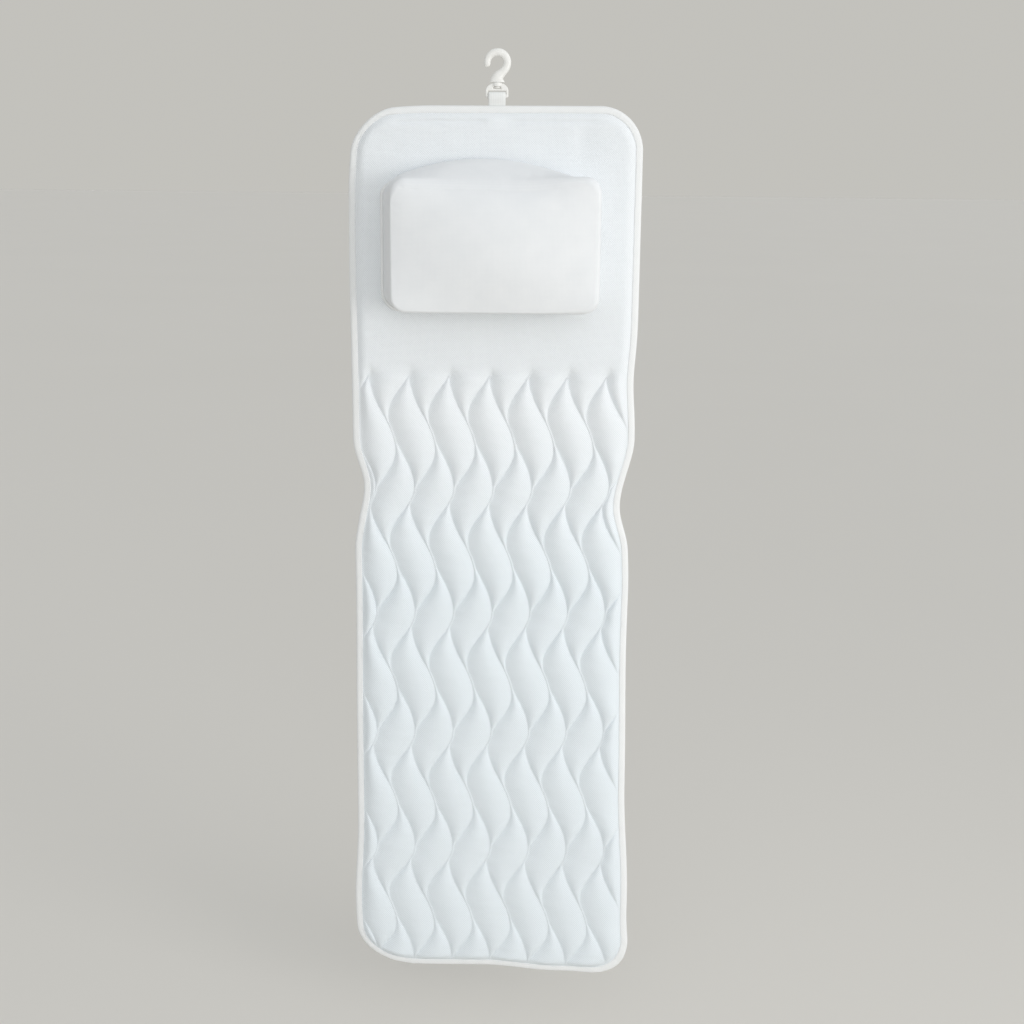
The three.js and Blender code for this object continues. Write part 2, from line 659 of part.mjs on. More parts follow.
// The hook: a tapered tip, a round bow, an S-shaped shank, a collar, and a pin with a knob below.
function hangerHook() {
  const bowRadius = BOW_INNER_RADIUS + ROD_WIDTH / 2;
  const bowPoint = (angle) => new THREE.Vector2(bowRadius * cos(angle), BOW_CENTRE + bowRadius * sin(angle));
  const bowDirection = (angle) => new THREE.Vector2(sin(angle), -cos(angle));
  const rings = [];
  const tip = TIP_ANGLE * DEGREE;
  const shank = SHANK_ANGLE * DEGREE;
  for (const share of TIP_SHARES) {
    const back = (TIP_WIDTH / 2) * share;
    const angle = tip + back / bowRadius;
    const round = sqrt(1 - share * share);
    const depth = (TIP_WIDTH * ROD_DEPTH) / ROD_WIDTH;
    rings.unshift(rodRing(bowPoint(angle), bowDirection(angle), TIP_WIDTH * round, depth * round));
  }
  for (let i = 0; i <= BOW_STEPS; i++) {
    const share = i / BOW_STEPS;
    const angle = tip + (shank - tip) * share;
    const width = TIP_WIDTH + (ROD_WIDTH - TIP_WIDTH) * min(1, 2 * share);
    const depth = (width * ROD_DEPTH) / ROD_WIDTH;
    rings.push(rodRing(bowPoint(angle), bowDirection(angle), width, depth));
  }
  const start = bowPoint(shank);
  const end = new THREE.Vector2(0, COLLAR);
  const curve = new THREE.CubicBezierCurve(
    start,
    start.clone().addScaledVector(bowDirection(shank), SHANK_EASE),
    new THREE.Vector2(0, COLLAR + SHANK_EASE),
    end,
  );
  for (let i = 1; i <= SHANK_STEPS; i++) {
    const t = i / SHANK_STEPS;
    const flare = t ** 3;
    const width = ROD_WIDTH + (COLLAR_WIDTH - ROD_WIDTH) * flare;
    const depth = ROD_DEPTH + (COLLAR_DEPTH - ROD_DEPTH) * flare;
    rings.push(rodRing(curve.getPoint(t), curve.getTangent(t), width, depth));
  }
  const down = new THREE.Vector2(0, -1);
  const round = (radius, z) => rodRing(new THREE.Vector2(0, z), down, 2 * radius, 2 * radius);
  const knobTop = RECESS_TOP - RUN_GAP;
  rings.push(round(PIN_RADIUS, COLLAR));
  rings.push(round(PIN_RADIUS, knobTop));
  rings.push(round(KNOB_RADIUS, knobTop));
  rings.push(round(KNOB_RADIUS, knobTop - KNOB_HEIGHT / 2));
  rings.push(round(PIN_RADIUS, knobTop - KNOB_HEIGHT));
  return loft(rings, "z");
}

// Moves a shape drawn in x and y to stand in x and z, centred on y = 0.
function standUp(geometry, depth) {
  return geometry.rotateX(PI / 2).translate(0, depth / 2, 0);
}

// The swivel base: a domed frame with a webbing window, a recess for the knob and a boss for the hook's pin.
function swivelBase() {
  const halfWidth = WINDOW_WIDTH / 2 + BASE_ARM;
  const bevel = min(BASE_BEVEL, BEVEL_SHARE * min(BASE_ARM, BAR_HEIGHT, BOSS_HEIGHT, BASE_DEPTH));
  const bottom = BAR_MIDDLE - BAR_HEIGHT / 2;
  const foot = min(BASE_FOOT_RADIUS, BAR_HEIGHT);
  const frame = new THREE.Shape();
  frame.absarc(halfWidth - foot, bottom + foot, foot, -PI / 2, 0);
  frame.absellipse(0, WINDOW_TOP, halfWidth, BASE_TOP - WINDOW_TOP, 0, PI);
  frame.absarc(-halfWidth + foot, bottom + foot, foot, PI, 1.5 * PI);
  const right = [
    [WINDOW_WIDTH / 2, WINDOW_BOTTOM],
    [WINDOW_WIDTH / 2, WINDOW_TOP],
    [RECESS_WIDTH / 2, WINDOW_TOP],
    [RECESS_WIDTH / 2, RECESS_TOP - RECESS_CHAMFER],
    [RECESS_WIDTH / 2 - RECESS_CHAMFER, RECESS_TOP],
  ].map(([x, z]) => new THREE.Vector2(x, z));
  const left = right.map((p) => new THREE.Vector2(-p.x, p.y)).reverse();
  frame.holes.push(new THREE.Path([...right, ...left]));
  const plate = new THREE.ExtrudeGeometry(frame, {
    depth: BASE_DEPTH - 2 * bevel,
    bevelThickness: bevel,
    bevelSize: bevel,
    bevelOffset: -bevel,
    bevelSegments: BEVEL_STEPS,
    curveSegments: BASE_CURVE_STEPS,
  });
  standUp(plate, BASE_DEPTH - 2 * bevel);
  const bossMiddle = (BASE_TOP + RECESS_TOP) / 2;
  const boss = new THREE.CylinderGeometry(BOSS_RADIUS, BOSS_RADIUS, BOSS_HEIGHT, 2 * ROD_SIDES);
  boss.rotateX(PI / 2).translate(0, 0, bossMiddle);
  const bore = PIN_RADIUS + RUN_GAP;
  const hole = new THREE.CylinderGeometry(bore, bore, BOSS_HEIGHT + CUT_OVERRUN, 2 * ROD_SIDES);
  hole.rotateX(PI / 2).translate(0, 0, bossMiddle);
  return toGeometry(toManifold(plate).add(toManifold(boss)).subtract(toManifold(hole)));
}

// The webbing loop: one strip folded over the base's bar, its two ends laid together as a tail.
function webbingLoop() {
  const outer = WEBBING_BORE + WEBBING_THICKNESS;
  const half = TAIL_THICKNESS / 2;
  const pinch = -outer - WEBBING_NECK;
  const end = -WEBBING_DROP - WEBBING_TAIL;
  const lean = WEBBING_WRAP * DEGREE;
  const strip = new THREE.Shape();
  strip.moveTo(-half, end);
  strip.lineTo(half, end);
  strip.lineTo(half, pinch);
  strip.absarc(0, 0, outer, -lean, PI + lean);
  strip.lineTo(-half, pinch);
  const eye = new THREE.Path();
  eye.absarc(0, 0, WEBBING_BORE, -lean, PI + lean);
  eye.lineTo(0, pinch + WEBBING_THICKNESS);
  strip.holes.push(eye);
  const geometry = new THREE.ExtrudeGeometry(strip, {
    depth: WEBBING_WIDTH,
    bevelEnabled: false,
    curveSegments: WEBBING_CURVE_STEPS,
  });
  const alongX = new THREE.Matrix4().makeBasis(
    new THREE.Vector3(0, 1, 0),
    new THREE.Vector3(0, 0, 1),
    new THREE.Vector3(1, 0, 0),
  );
  return geometry.applyMatrix4(alongX).translate(-WEBBING_WIDTH / 2, 0, 0);
}

function addPiece(group, name, geometry, finish) {
  const mesh = new THREE.Mesh(geometry, finish);
  mesh.name = name;
  group.add(mesh);
  return mesh;
}

const bathPillow = new THREE.Group();
addPiece(bathPillow, "hanger_hook", hangerHook(), HOOK_PLASTIC);
addPiece(bathPillow, "swivel_base", swivelBase(), HOOK_PLASTIC);
addPiece(bathPillow, "webbing_loop", webbingLoop(), BINDING_FABRIC).position.z = BAR_MIDDLE;

const mat = new THREE.Group();
mat.position.set(0, -TAIL_MIDDLE, BAR_MIDDLE - WEBBING_DROP);
bathPillow.add(mat);
for (const [half, name] of [
  [UPPER, "upper"],
  [LOWER, "lower"],
]) {
  addPiece(mat, `${name}_quilted_front`, quiltedFront(half), MESH_FABRIC);
  addPiece(mat, `${name}_spacer_core`, spacerCore(half), FILLING);
  addPiece(mat, `${name}_back_cover`, backCover(half), MESH_FABRIC);
  addPiece(mat, `${name}_edge_binding`, edgeBinding(half), BINDING_FABRIC);
  for (const { side, row, x, z } of cupPlaces(half)) {
    addPiece(mat, `suction_cup_${name}_${side}_${row}`, suctionCup(), CUP_VINYL).position.set(x, 0, z);
  }
}

const headrest = new THREE.Group();
headrest.position.set(0, -PLAIN_THICKNESS, -HEADREST_DROP - HEADREST_HEIGHT / 2);
mat.add(headrest);
addPiece(headrest, "headrest_cover", headrestCover(), PLAIN_FABRIC);
addPiece(headrest, "headrest_filling", headrestFilling(), FILLING);
addPiece(headrest, "headrest_back_panel", headrestBackPanel(), PLAIN_FABRIC);
addPiece(headrest, "headrest_piping", headrestPiping(), BINDING_FABRIC);

export default bathPillow;
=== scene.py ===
# The looks of a full-length bath pillow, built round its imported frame. Metres, +Z up, front towards -Y.
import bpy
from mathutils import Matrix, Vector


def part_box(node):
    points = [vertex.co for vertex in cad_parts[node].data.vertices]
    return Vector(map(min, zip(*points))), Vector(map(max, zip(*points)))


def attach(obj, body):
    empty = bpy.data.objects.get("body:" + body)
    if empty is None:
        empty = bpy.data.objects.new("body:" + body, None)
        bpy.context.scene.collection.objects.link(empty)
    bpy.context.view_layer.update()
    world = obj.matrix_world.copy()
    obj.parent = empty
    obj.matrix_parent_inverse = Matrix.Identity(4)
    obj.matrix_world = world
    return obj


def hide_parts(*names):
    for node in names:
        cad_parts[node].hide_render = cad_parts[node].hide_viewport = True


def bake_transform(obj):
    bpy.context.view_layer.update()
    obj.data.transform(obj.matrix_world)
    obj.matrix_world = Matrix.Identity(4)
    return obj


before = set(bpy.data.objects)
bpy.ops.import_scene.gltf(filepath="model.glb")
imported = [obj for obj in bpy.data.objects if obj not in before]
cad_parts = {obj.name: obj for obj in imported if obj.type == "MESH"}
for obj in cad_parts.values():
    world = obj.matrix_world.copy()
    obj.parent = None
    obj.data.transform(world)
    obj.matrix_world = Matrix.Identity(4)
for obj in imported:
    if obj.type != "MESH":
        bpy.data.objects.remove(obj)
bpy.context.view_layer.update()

import math

import bmesh
import bpy
import numpy as np
from mathutils import Matrix, Vector, noise


# Spacer core: a springy pad of open knitted spacer fabric, which lets the water drain. It is cut to the mat's
# outline and pressed thin at its edge. Pockets take the heads of the suction cups and the webbing's tail.
mat_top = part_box("upper_edge_binding")[1].z
mat_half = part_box("upper_edge_binding")[1].x
mat_length = mat_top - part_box("lower_edge_binding")[0].z
seam_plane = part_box("upper_quilted_front")[1].y
corner_radius = 0.060
waist_depth = 0.535
waist_draw = 0.014
waist_reach = 0.084
layer_inset = 0.0017
seam_margin = 0.012
bevel_end = 0.030
end_reach = bevel_end + 0.006
end_rows = 16
edge_columns = np.array([0, 0.004, 0.008, 0.0115, 0.016, 0.021, 0.026, 0.031])
core_row = 0.008
core_column = 0.012
core_front = 0.0003
core_edge_back = 0.0033
core_back = 0.0103
core_thread = (0.80, 0.82, 0.82)
core_hole = (0.35, 0.37, 0.38)
core_pitch = 0.0042
pocket_radius = 0.0073
pocket_front = 0.0070
pocket_back = 0.016
hole_sides = 24
tail_half = 0.0118
tail_pocket = 0.0263
tail_pocket_back = 0.020
cut_past = 0.005

# A growth is an amount and the span that it grows over. A dip is an amount, its depth down the side and its
# reach. A pull is an amount and its spans across and down to a corner.
right_slack = 0.0015
right_dips = [(0.004, 0.372, 0.045), (0.006, 0.562, 0.035), (0.003, 0.61, 0.04), (0.004, 0.75, 0.15)]
left_dips = [(0.002, 0.512, 0.025), (-0.002, 0.56, 0.025), (0.0015, 0.68, 0.12), (-0.002, 0.20, 0.15)]
right_fullness = (0.008, 0.98, 1.15)
left_fullness = (0.0055, 1.03, 1.17)
low_right_pull = (0.015, 0.10, 0.20, 1.17, 1.27)
low_left_pull = (0.007, 0.08, 0.20, 1.15, 1.27)
top_left_pull = (0.010, 0.08, 0.20, -0.12, 0)
foot_droop = 0.003
right_droop = (0.009, -0.01, 0.10)
left_rise = (0.006, 0.11, 0.17)
droop_span = (0.95, 1.27)
top_tilt = (0.006, -0.30, 0)


def drawn_in(depth):
    """How far the waist pulls each side in, at a depth below the top edge."""
    share = np.clip(np.abs(depth - waist_depth) / waist_reach, 0, 1)
    return waist_draw * np.cos(share * math.pi / 2) ** 2


def half_span(depth, inset):
    """Half the width of a layer at a depth, when it is cut back from the mat's edge by an inset."""
    end = np.minimum(depth, mat_length - depth)
    bow = np.sqrt(np.maximum((corner_radius - inset) ** 2 - (corner_radius - end) ** 2, 0))
    return np.where(end >= corner_radius, mat_half - inset - drawn_in(depth), mat_half - corner_radius + bow)


def edge_distance(x, depth):
    """How far a place lies inside the mat's edge."""
    end = np.minimum(depth, mat_length - depth)
    past = np.abs(x) - (mat_half - corner_radius)
    corner = corner_radius - np.hypot(np.maximum(past, 0), np.maximum(corner_radius - end, 0))
    side = np.minimum(mat_half - np.abs(x) - drawn_in(depth), end)
    return np.where((past > 0) & (end < corner_radius), corner, side)


def ramp(value, low, high):
    """Share of the way from low to high, kept between 0 and 1."""
    return np.clip((value - low) / (high - low), 0, 1)


def smooth_step(value, low, high):
    """The same share, which leaves and arrives smoothly."""
    share = ramp(value, low, high)
    return share * share * (3 - 2 * share)


def bump(value, middle, reach):
    """A smooth bump of height 1 about a middle."""
    return np.exp(-(((value - middle) / reach) ** 2))


def grown(value, growth):
    """How much of a growth has come about at a value."""
    amount, start, end = growth
    return amount * smooth_step(value, start, end)


def dipped(depth, dips):
    """How far a side is drawn in by its dips, at a depth below the top edge."""
    return sum(amount * bump(depth, middle, reach) for amount, middle, reach in dips)


def pulled(x, depth, pull):
    """How far a place near a corner is pulled."""
    amount, across_start, across_end, down_start, down_end = pull
    return amount * ramp(x, across_start, across_end) ** 2 * ramp(depth, down_start, down_end) ** 2


def hang(x, depth):
    """Where a place of the flat mat lies when it hangs: slack sides, a fuller foot and uneven corners."""
    slack = np.where(x > 0, right_slack + dipped(depth, right_dips), dipped(depth, left_dips))
    fuller = np.where(x > 0, grown(depth, right_fullness), grown(depth, left_fullness))
    low_right = pulled(x, depth, low_right_pull)
    low_left = pulled(-x, depth, low_left_pull)
    top_left = pulled(-x, -depth, top_left_pull)
    droop = foot_droop + grown(x, right_droop) - grown(-x, left_rise)
    hung_x = x + (fuller - slack) * x / mat_half
    hung_depth = depth + droop * smooth_step(depth, *droop_span) - x * grown(-depth, top_tilt)
    return hung_x + low_right + low_left + top_left, hung_depth + low_right - low_left + top_left


def hung(x, depth, y):
    """Places of the hanging mat for places of the flat one, at distances y behind the seam plane."""
    hung_x, hung_depth = hang(x, depth)
    return np.stack([hung_x, seam_plane + y, mat_top - hung_depth], -1)


def row_depths(step):
    """Depths of a layer's mesh rows: close together at both ends, where its edge rolls over."""
    ends = np.linspace(layer_inset, end_reach, end_rows)
    count = round((mat_length - 2 * ends[-1]) / step)
    between = np.linspace(ends[-1], mat_length - ends[-1], count + 1)[1:-1]
    return np.concatenate([ends, between, mat_length - ends[::-1]])


def plain_columns(depth, step):
    """Places across a plain layer, row by row: close together at its edges and even between."""
    half = half_span(depth, layer_inset)[:, None]
    inner = half - edge_columns[-1]
    count = round(2 * (mat_half - edge_columns[-1]) / step)
    middle = inner * np.linspace(-1, 1, count + 1)[None, 1:-1]
    return np.concatenate([edge_columns - half, middle, (half - edge_columns)[:, ::-1]], 1)


def plain_layer(row_step, column_step):
    """Places of a plain layer, and how far each has risen from the pressed edge, from 0 to 1."""
    rows = row_depths(row_step)
    x = plain_columns(rows, column_step)
    depth = np.broadcast_to(rows[:, None], x.shape)
    return x, depth, smooth_step(edge_distance(x, depth), seam_margin, bevel_end)


def placed(name, data):
    """Puts a new object with its data into the scene."""
    made = bpy.data.objects.new(name, data)
    bpy.context.scene.collection.objects.link(made)
    return made


def piece(name, places, faces, weave=None):
    """A smooth mesh object, with the places of its weave kept as a UV map when they are given."""
    mesh = bpy.data.meshes.new(name)
    mesh.from_pydata(np.asarray(places, float).tolist(), [], [list(map(int, f)) for f in faces])
    if weave is not None:
        layer = mesh.uv_layers.new(name="weave")
        corners = np.zeros(len(mesh.loops), int)
        mesh.loops.foreach_get("vertex_index", corners)
        layer.uv.foreach_set("vector", np.asarray(weave, np.float32)[corners].ravel())
    mesh.polygons.foreach_set("use_smooth", [True] * len(mesh.polygons))
    return placed(name, mesh)


def grid_faces(index):
    """Faces between the rows and columns of a grid of places."""
    return np.stack([index[:-1, :-1], index[1:, :-1], index[1:, 1:], index[:-1, 1:]], -1).reshape(-1, 4)


def slab(name, x, depth, near, far):
    """A closed layer over a grid of places on the mat, from its front surface to its back one."""
    front = hung(x, depth, near).reshape(-1, 3)
    back = hung(x, depth, far).reshape(-1, 3)
    count = len(front)
    index = np.arange(count).reshape(x.shape)
    quads = grid_faces(index)
    rim = np.concatenate([index[0, :-1], index[:-1, -1], index[-1, :0:-1], index[:0:-1, 0]])
    after = np.roll(rim, -1)
    walls = np.stack([rim, after, after + count, rim + count], -1)
    weave = np.stack([x, -depth], -1).reshape(-1, 2)
    faces = np.concatenate([quads, quads[:, ::-1] + count, walls])
    return piece(name, np.concatenate([front, back]), faces, np.concatenate([weave, weave]))


def face_out(made, weld=None):
    """Turns all the faces of a closed piece outwards, after joining places that lie within a weld's reach."""
    shape = bmesh.new()
    shape.from_mesh(made.data)
    if weld:
        bmesh.ops.remove_doubles(shape, verts=shape.verts, dist=weld)
    bmesh.ops.recalc_face_normals(shape, faces=shape.faces)
    shape.to_mesh(made.data)
    shape.free()
    return made


def finished_mesh(made):
    """The mesh of an object as its modifiers or its drawing make it."""
    bpy.context.view_layer.update()
    return bpy.data.meshes.new_from_object(made.evaluated_get(bpy.context.evaluated_depsgraph_get()))


def carve(body, tool, operation="DIFFERENCE"):
    """Cuts a tool's shape out of a piece, or joins it on, and removes the tool."""
    cut = body.modifiers.new("cut", "BOOLEAN")
    cut.object = tool
    cut.operation = operation
    cut.solver = "EXACT"
    made = finished_mesh(body)
    body.modifiers.clear()
    body.data = made
    bpy.data.objects.remove(tool)


def lathe(name, profile, segments):
    """A closed body turned about the Y axis from (radius, y) points that start and end on the axis."""
    inner = profile[1:-1]
    angles = np.arange(segments) * 2 * math.pi / segments
    rings = [[(r * math.cos(a), y, r * math.sin(a)) for a in angles] for r, y in inner]
    places = [(0, profile[0][1], 0)] + [p for ring in rings for p in ring] + [(0, profile[-1][1], 0)]
    faces = []
    last = len(places) - 1
    for k in range(segments):
        following = (k + 1) % segments
        faces.append((0, 1 + k, 1 + following))
        for ring in range(len(inner) - 1):
            a = 1 + ring * segments
            faces.append((a + k, a + segments + k, a + segments + following, a + following))
        a = 1 + (len(inner) - 1) * segments
        faces.append((a + k, last, a + following))
    return face_out(piece(name, places, faces))


cup_boxes = {name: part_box(name) for name in sorted(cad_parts) if name.startswith("suction_cup")}
cup_places = {name: ((low.x + high.x) / 2, (low.z + high.z) / 2) for name, (low, high) in cup_boxes.items()}


def pierce(layer, radius, front, back):
    """Bores a round hole into a layer at every suction cup."""
    for x, z in cup_places.values():
        drill = lathe("drill", [(0, front), (radius, front), (radius, back), (0, back)], hole_sides)
        drill.data.transform(Matrix.Translation((x, seam_plane, z)))
        carve(layer, drill)


def clear_tail(layer, front, back, reach):
    """Cuts room for the webbing's tail into a layer, down from the mat's top edge."""
    across = (-tail_half, tail_half)
    through = (seam_plane + front, seam_plane + back)
    down = (mat_top - reach, mat_top + cut_past)
    corners = [(x, y, z) for x in across for y in through for z in down]
    faces = [(0, 1, 3, 2), (4, 6, 7, 5), (0, 4, 5, 1), (2, 3, 7, 6), (0, 2, 6, 4), (1, 5, 7, 3)]
    carve(layer, piece("tail_tool", corners, faces))


def node(tree, kind, inputs=(), **settings):
    """A shader node with its settings, and with its inputs linked or set."""
    made = tree.nodes.new("ShaderNode" + kind)
    for key, value in settings.items():
        setattr(made, key, value)
    for key, value in dict(inputs).items():
        if isinstance(value, bpy.types.NodeSocket):
            tree.links.new(value, made.inputs[key])
        else:
            made.inputs[key].default_value = value
    return made


def weave_map(tree):
    """Places on a fabric, in metres along and across its weave."""
    return node(tree, "UVMap", uv_map="weave").outputs["UV"]


def speckle(tree, places, scale, detail):
    """Soft unevenness over a finish."""
    return node(tree, "TexNoise", {"Vector": places, "Scale": scale, "Detail": detail}).outputs["Fac"]


def reckon(tree, operation, *values):
    """A sum of values over a finish."""
    return node(tree, "Math", dict(enumerate(values)), operation=operation).outputs[0]


def overlay(tree, pattern, other, share):
    """A pattern with a share of another one added to it."""
    return reckon(tree, "MULTIPLY_ADD", other, share, pattern)


def span(tree, value, **ends):
    """A value over a finish, fitted from one span to another."""
    inputs = {key.replace("_", " ").title(): end for key, end in ends.items()}
    return node(tree, "MapRange", {"Value": value, **inputs}).outputs["Result"]


def colour_between(tree, factor, dark, light, low, high):
    """A colour that goes from a dark one to a light one as a factor grows from low to high."""
    made = node(tree, "ValToRGB", {"Fac": factor})
    for k, (position, colour) in enumerate(((low, dark), (high, light))):
        made.color_ramp.elements[k].position = position
        made.color_ramp.elements[k].color = (*colour, 1)
    return made.outputs["Color"]


def new_finish(name, roughness, sheen=0.0):
    """A new material with its node tree and its shader."""
    material = bpy.data.materials.new(name)
    material.use_nodes = True
    shader = material.node_tree.nodes["Principled BSDF"]
    shader.inputs["Roughness"].default_value = roughness
    shader.inputs["Sheen Weight"].default_value = sheen
    return material, material.node_tree, shader


def dye(tree, shader, factor, dark, light, low=0.3, high=0.7):
    """Colours a finish from dark to light as a factor grows from low to high."""
    tree.links.new(colour_between(tree, factor, dark, light, low, high), shader.inputs["Base Color"])


def emboss(tree, shader, height, strength, distance):
    """Gives a finish its fine relief."""
    relief = node(tree, "Bump", {"Strength": strength, "Distance": distance, "Height": height})
    tree.links.new(relief.outputs["Normal"], shader.inputs["Normal"])


def mesh_fabric(name, thread, hole, pitch, lower_painted_shade=None):
    """Knitted mesh: rows of small holes between soft threads, with a faint unevenness in its white, and when
    asked painted shade that makes it darker and cooler towards the bottom.
    """
    material, tree, shader = new_finish(name, roughness=0.85, sheen=0.15)
    weave = weave_map(tree)
    slant = {"Vector": weave, "Rotation": (0, 0, math.pi / 4), "Scale": (1 / pitch,) * 3}
    cells = {"Vector": node(tree, "Mapping", slant).outputs["Vector"], "Scale": 1.0, "Randomness": 0.12}
    holes = node(tree, "TexVoronoi", cells, voronoi_dimensions="2D").outputs["Distance"]
    rims = {"Value": holes, "From Min": 0.14, "From Max": 0.40}
    threads = node(tree, "MapRange", rims, interpolation_type="SMOOTHSTEP").outputs["Result"]
    cloud = speckle(tree, weave, scale=22.0, detail=3.0)
    uneven = overlay(tree, threads, cloud, share=0.3)
    colour = colour_between(tree, uneven, hole, thread, low=0.05, high=1.0)
    # Painted shade: the colour is multiplied darker and cooler further down the mat, standing in for light
    # that falls off lower down and shade in the quilting.
    if lower_painted_shade:
        height = node(tree, "SeparateXYZ", {"Vector": weave}).outputs["Y"]
        down = span(tree, height, from_min=-0.42, from_max=-0.66)
        shade_colour = colour_between(tree, down, (1.0, 1.0, 1.0), lower_painted_shade, low=0.0, high=1.0)
        both = {0: 1.0, 6: colour, 7: shade_colour}
        colour = node(tree, "Mix", both, data_type="RGBA", blend_type="MULTIPLY").outputs[2]
    tree.links.new(colour, shader.inputs["Base Color"])
    emboss(tree, shader, threads, strength=0.45, distance=0.0005)
    shader.inputs["Sheen Roughness"].default_value = 0.5
    return material


def fold_at_waist(made):
    """Bakes a layer's place into its mesh."""
    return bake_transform(made)


core_x, core_depth, core_lift = plain_layer(core_row, core_column)
core_near = np.full(core_x.shape, core_front)
core_far = core_edge_back + (core_back - core_edge_back) * core_lift
core = slab("spacer_core", core_x, core_depth, core_near, core_far)
pierce(core, pocket_radius, pocket_front, pocket_back)
clear_tail(core, -cut_past, tail_pocket_back, tail_pocket)
core.data.materials.append(mesh_fabric("spacer_knit", core_thread, core_hole, core_pitch))
fold_at_waist(core)
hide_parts("upper_spacer_core", "lower_spacer_core")


# Back cover: one piece of plain mesh fabric over the core. It is cut to the outline, eased over the core's
# edge and pierced by an eyelet for the neck of each suction cup.
cover_row = 0.006
cover_column = 0.008
cover_edge_inner = 0.0036
cover_inner = 0.0106
cover_thickness = 0.0015
eyelet_radius = 0.0038
eyelet_back = 0.03
back_thread = (0.85, 0.875, 0.89)
back_hole = (0.60, 0.63, 0.65)
back_pitch = 0.0026

cover_x, cover_depth, cover_lift = plain_layer(cover_row, cover_column)
cover_inside = cover_edge_inner + (cover_inner - cover_edge_inner) * cover_lift
back_cover = slab("back_cover", cover_x, cover_depth, cover_inside, cover_inside + cover_thickness)
pierce(back_cover, eyelet_radius, 0.0, eyelet_back)
back_cover.data.materials.append(mesh_fabric("back_mesh", back_thread, back_hole, back_pitch))
fold_at_waist(back_cover)
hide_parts("upper_back_cover", "lower_back_cover")


# Quilted front: mesh fabric over wadding, sewn together along two families of wavy lines that nearly touch
# and part again, so that the wadding stands up in leaf-shaped channels. Behind the headrest it is plain.
plain_thickness = 0.010
margin_thickness = 0.0022
valley_thickness = 0.0052
valley_filling = (0.0028, 0.40, 1.05)
crown_thickness = 0.0136
crown_power = 1.2
channel_full = 0.040
front_margin = 0.0101
edge_roll = 0.011
lip_rise = 0.0019
lip_width = 0.0020
quilt_row = 0.0042
quilt_top = 0.357
quilt_fade = 0.014
line_count = 7
line_pitch = 0.056
first_line = -0.157
family_shift = 0.0256
family_delay = 0.055
wave_swing = 0.018
wave_length = 0.182
wave_start = 0.366
wave_rise = 0.106
line_gap = 0.0015
strips = 8
margin_columns = 5
border_seam = 0.0205
border_width = 0.0028
border_depth = 0.0034
border_start = (0.012, 0.020)
border_end = (-0.150, -0.128)
fine_crease = 0.0005
fine_rate = (55, 130)
broad_crease = 0.0008
broad_rate = (16, 16)
rest_depth = 0.177
rest_beside = (-0.162, -0.150)
rest_above = (-0.112, -0.100)
front_thread = (0.855, 0.88, 0.90)
front_hole = (0.71, 0.745, 0.77)
front_pitch = 0.0022
# Painted shade: a darker, cooler white that the front's colour is multiplied by towards the bottom of the
# mat.
front_lower_painted_shade = (0.937, 0.967, 0.98)

# A dent is how deep it is, its place and reach across, and its place and reach down.
dents = [(0.0022, 0.118, 0.013, 0.046, 0.024), (0.0020, 0.013, 0.014, 0.022, 0.009)]
dents += [(0.0010, 0.096, 0.004, 0.330, 0.010)]

# Every line of one family starts in a tuck.
tuck_shift = 0.0015
tuck_depth = 0.0042
tuck_width = 0.0070
tuck_place = 0.3640
tuck_height = 0.0105
tucks = [first_line + k * line_pitch - wave_swing + tuck_shift for k in range(line_count)]
dents += [(tuck_depth, tuck, tuck_width, tuck_place, tuck_height) for tuck in tucks]


def wave(depth):
    """Sideways swing of a stitch line: to the right over its long stroke, and back over its short one."""
    along = np.mod(depth - wave_start, wave_length)
    right = -np.cos(math.pi * along / wave_rise)
    left = np.cos(math.pi * (along - wave_rise) / (wave_length - wave_rise))
    return wave_swing * np.where(along < wave_rise, right, left)


def valley(depth):
    """Thickness at a stitch line: the wadding is pulled down hard at the top and less towards the bottom."""
    return valley_thickness + grown(depth, valley_filling)


def edge_rise(x, depth):
    """How far the padding has risen beside the binding, from 0 to 1."""
    roll = ramp(edge_distance(x, depth), front_margin, front_margin + edge_roll)
    return np.sin(roll * math.pi / 2)


def stitch_lines(depth):
    """Places of the stitch lines across the mat, row by row, between the two edges of the padded field."""
    field = np.minimum(half_span(depth, front_margin), half_span(depth, layer_inset) - line_gap)
    stitched = np.maximum(depth, quilt_top)
    lines = [-field]
    for k in range(line_count):
        mean = first_line + k * line_pitch
        before = mean - line_pitch + family_shift
        lines.append(np.maximum(before + wave(stitched - family_delay), lines[-1] + line_gap))
        lines.append(np.maximum(mean + wave(stitched), lines[-1] + line_gap))
    lines.append(field)
    for k in range(len(lines) - 2, 0, -1):
        lines[k] = np.minimum(lines[k], lines[k + 1] - line_gap)
    return np.stack(lines, 1)


def crease(x, depth):
    """Small unevenness of the fabric: fine level creases on broad waves."""
    fine = noise.noise(Vector((x * fine_rate[0], depth * fine_rate[1], 0.0)))
    broad = noise.noise(Vector((x * broad_rate[0], depth * broad_rate[1], 4.0)))
    return fine * fine_crease + broad * broad_crease


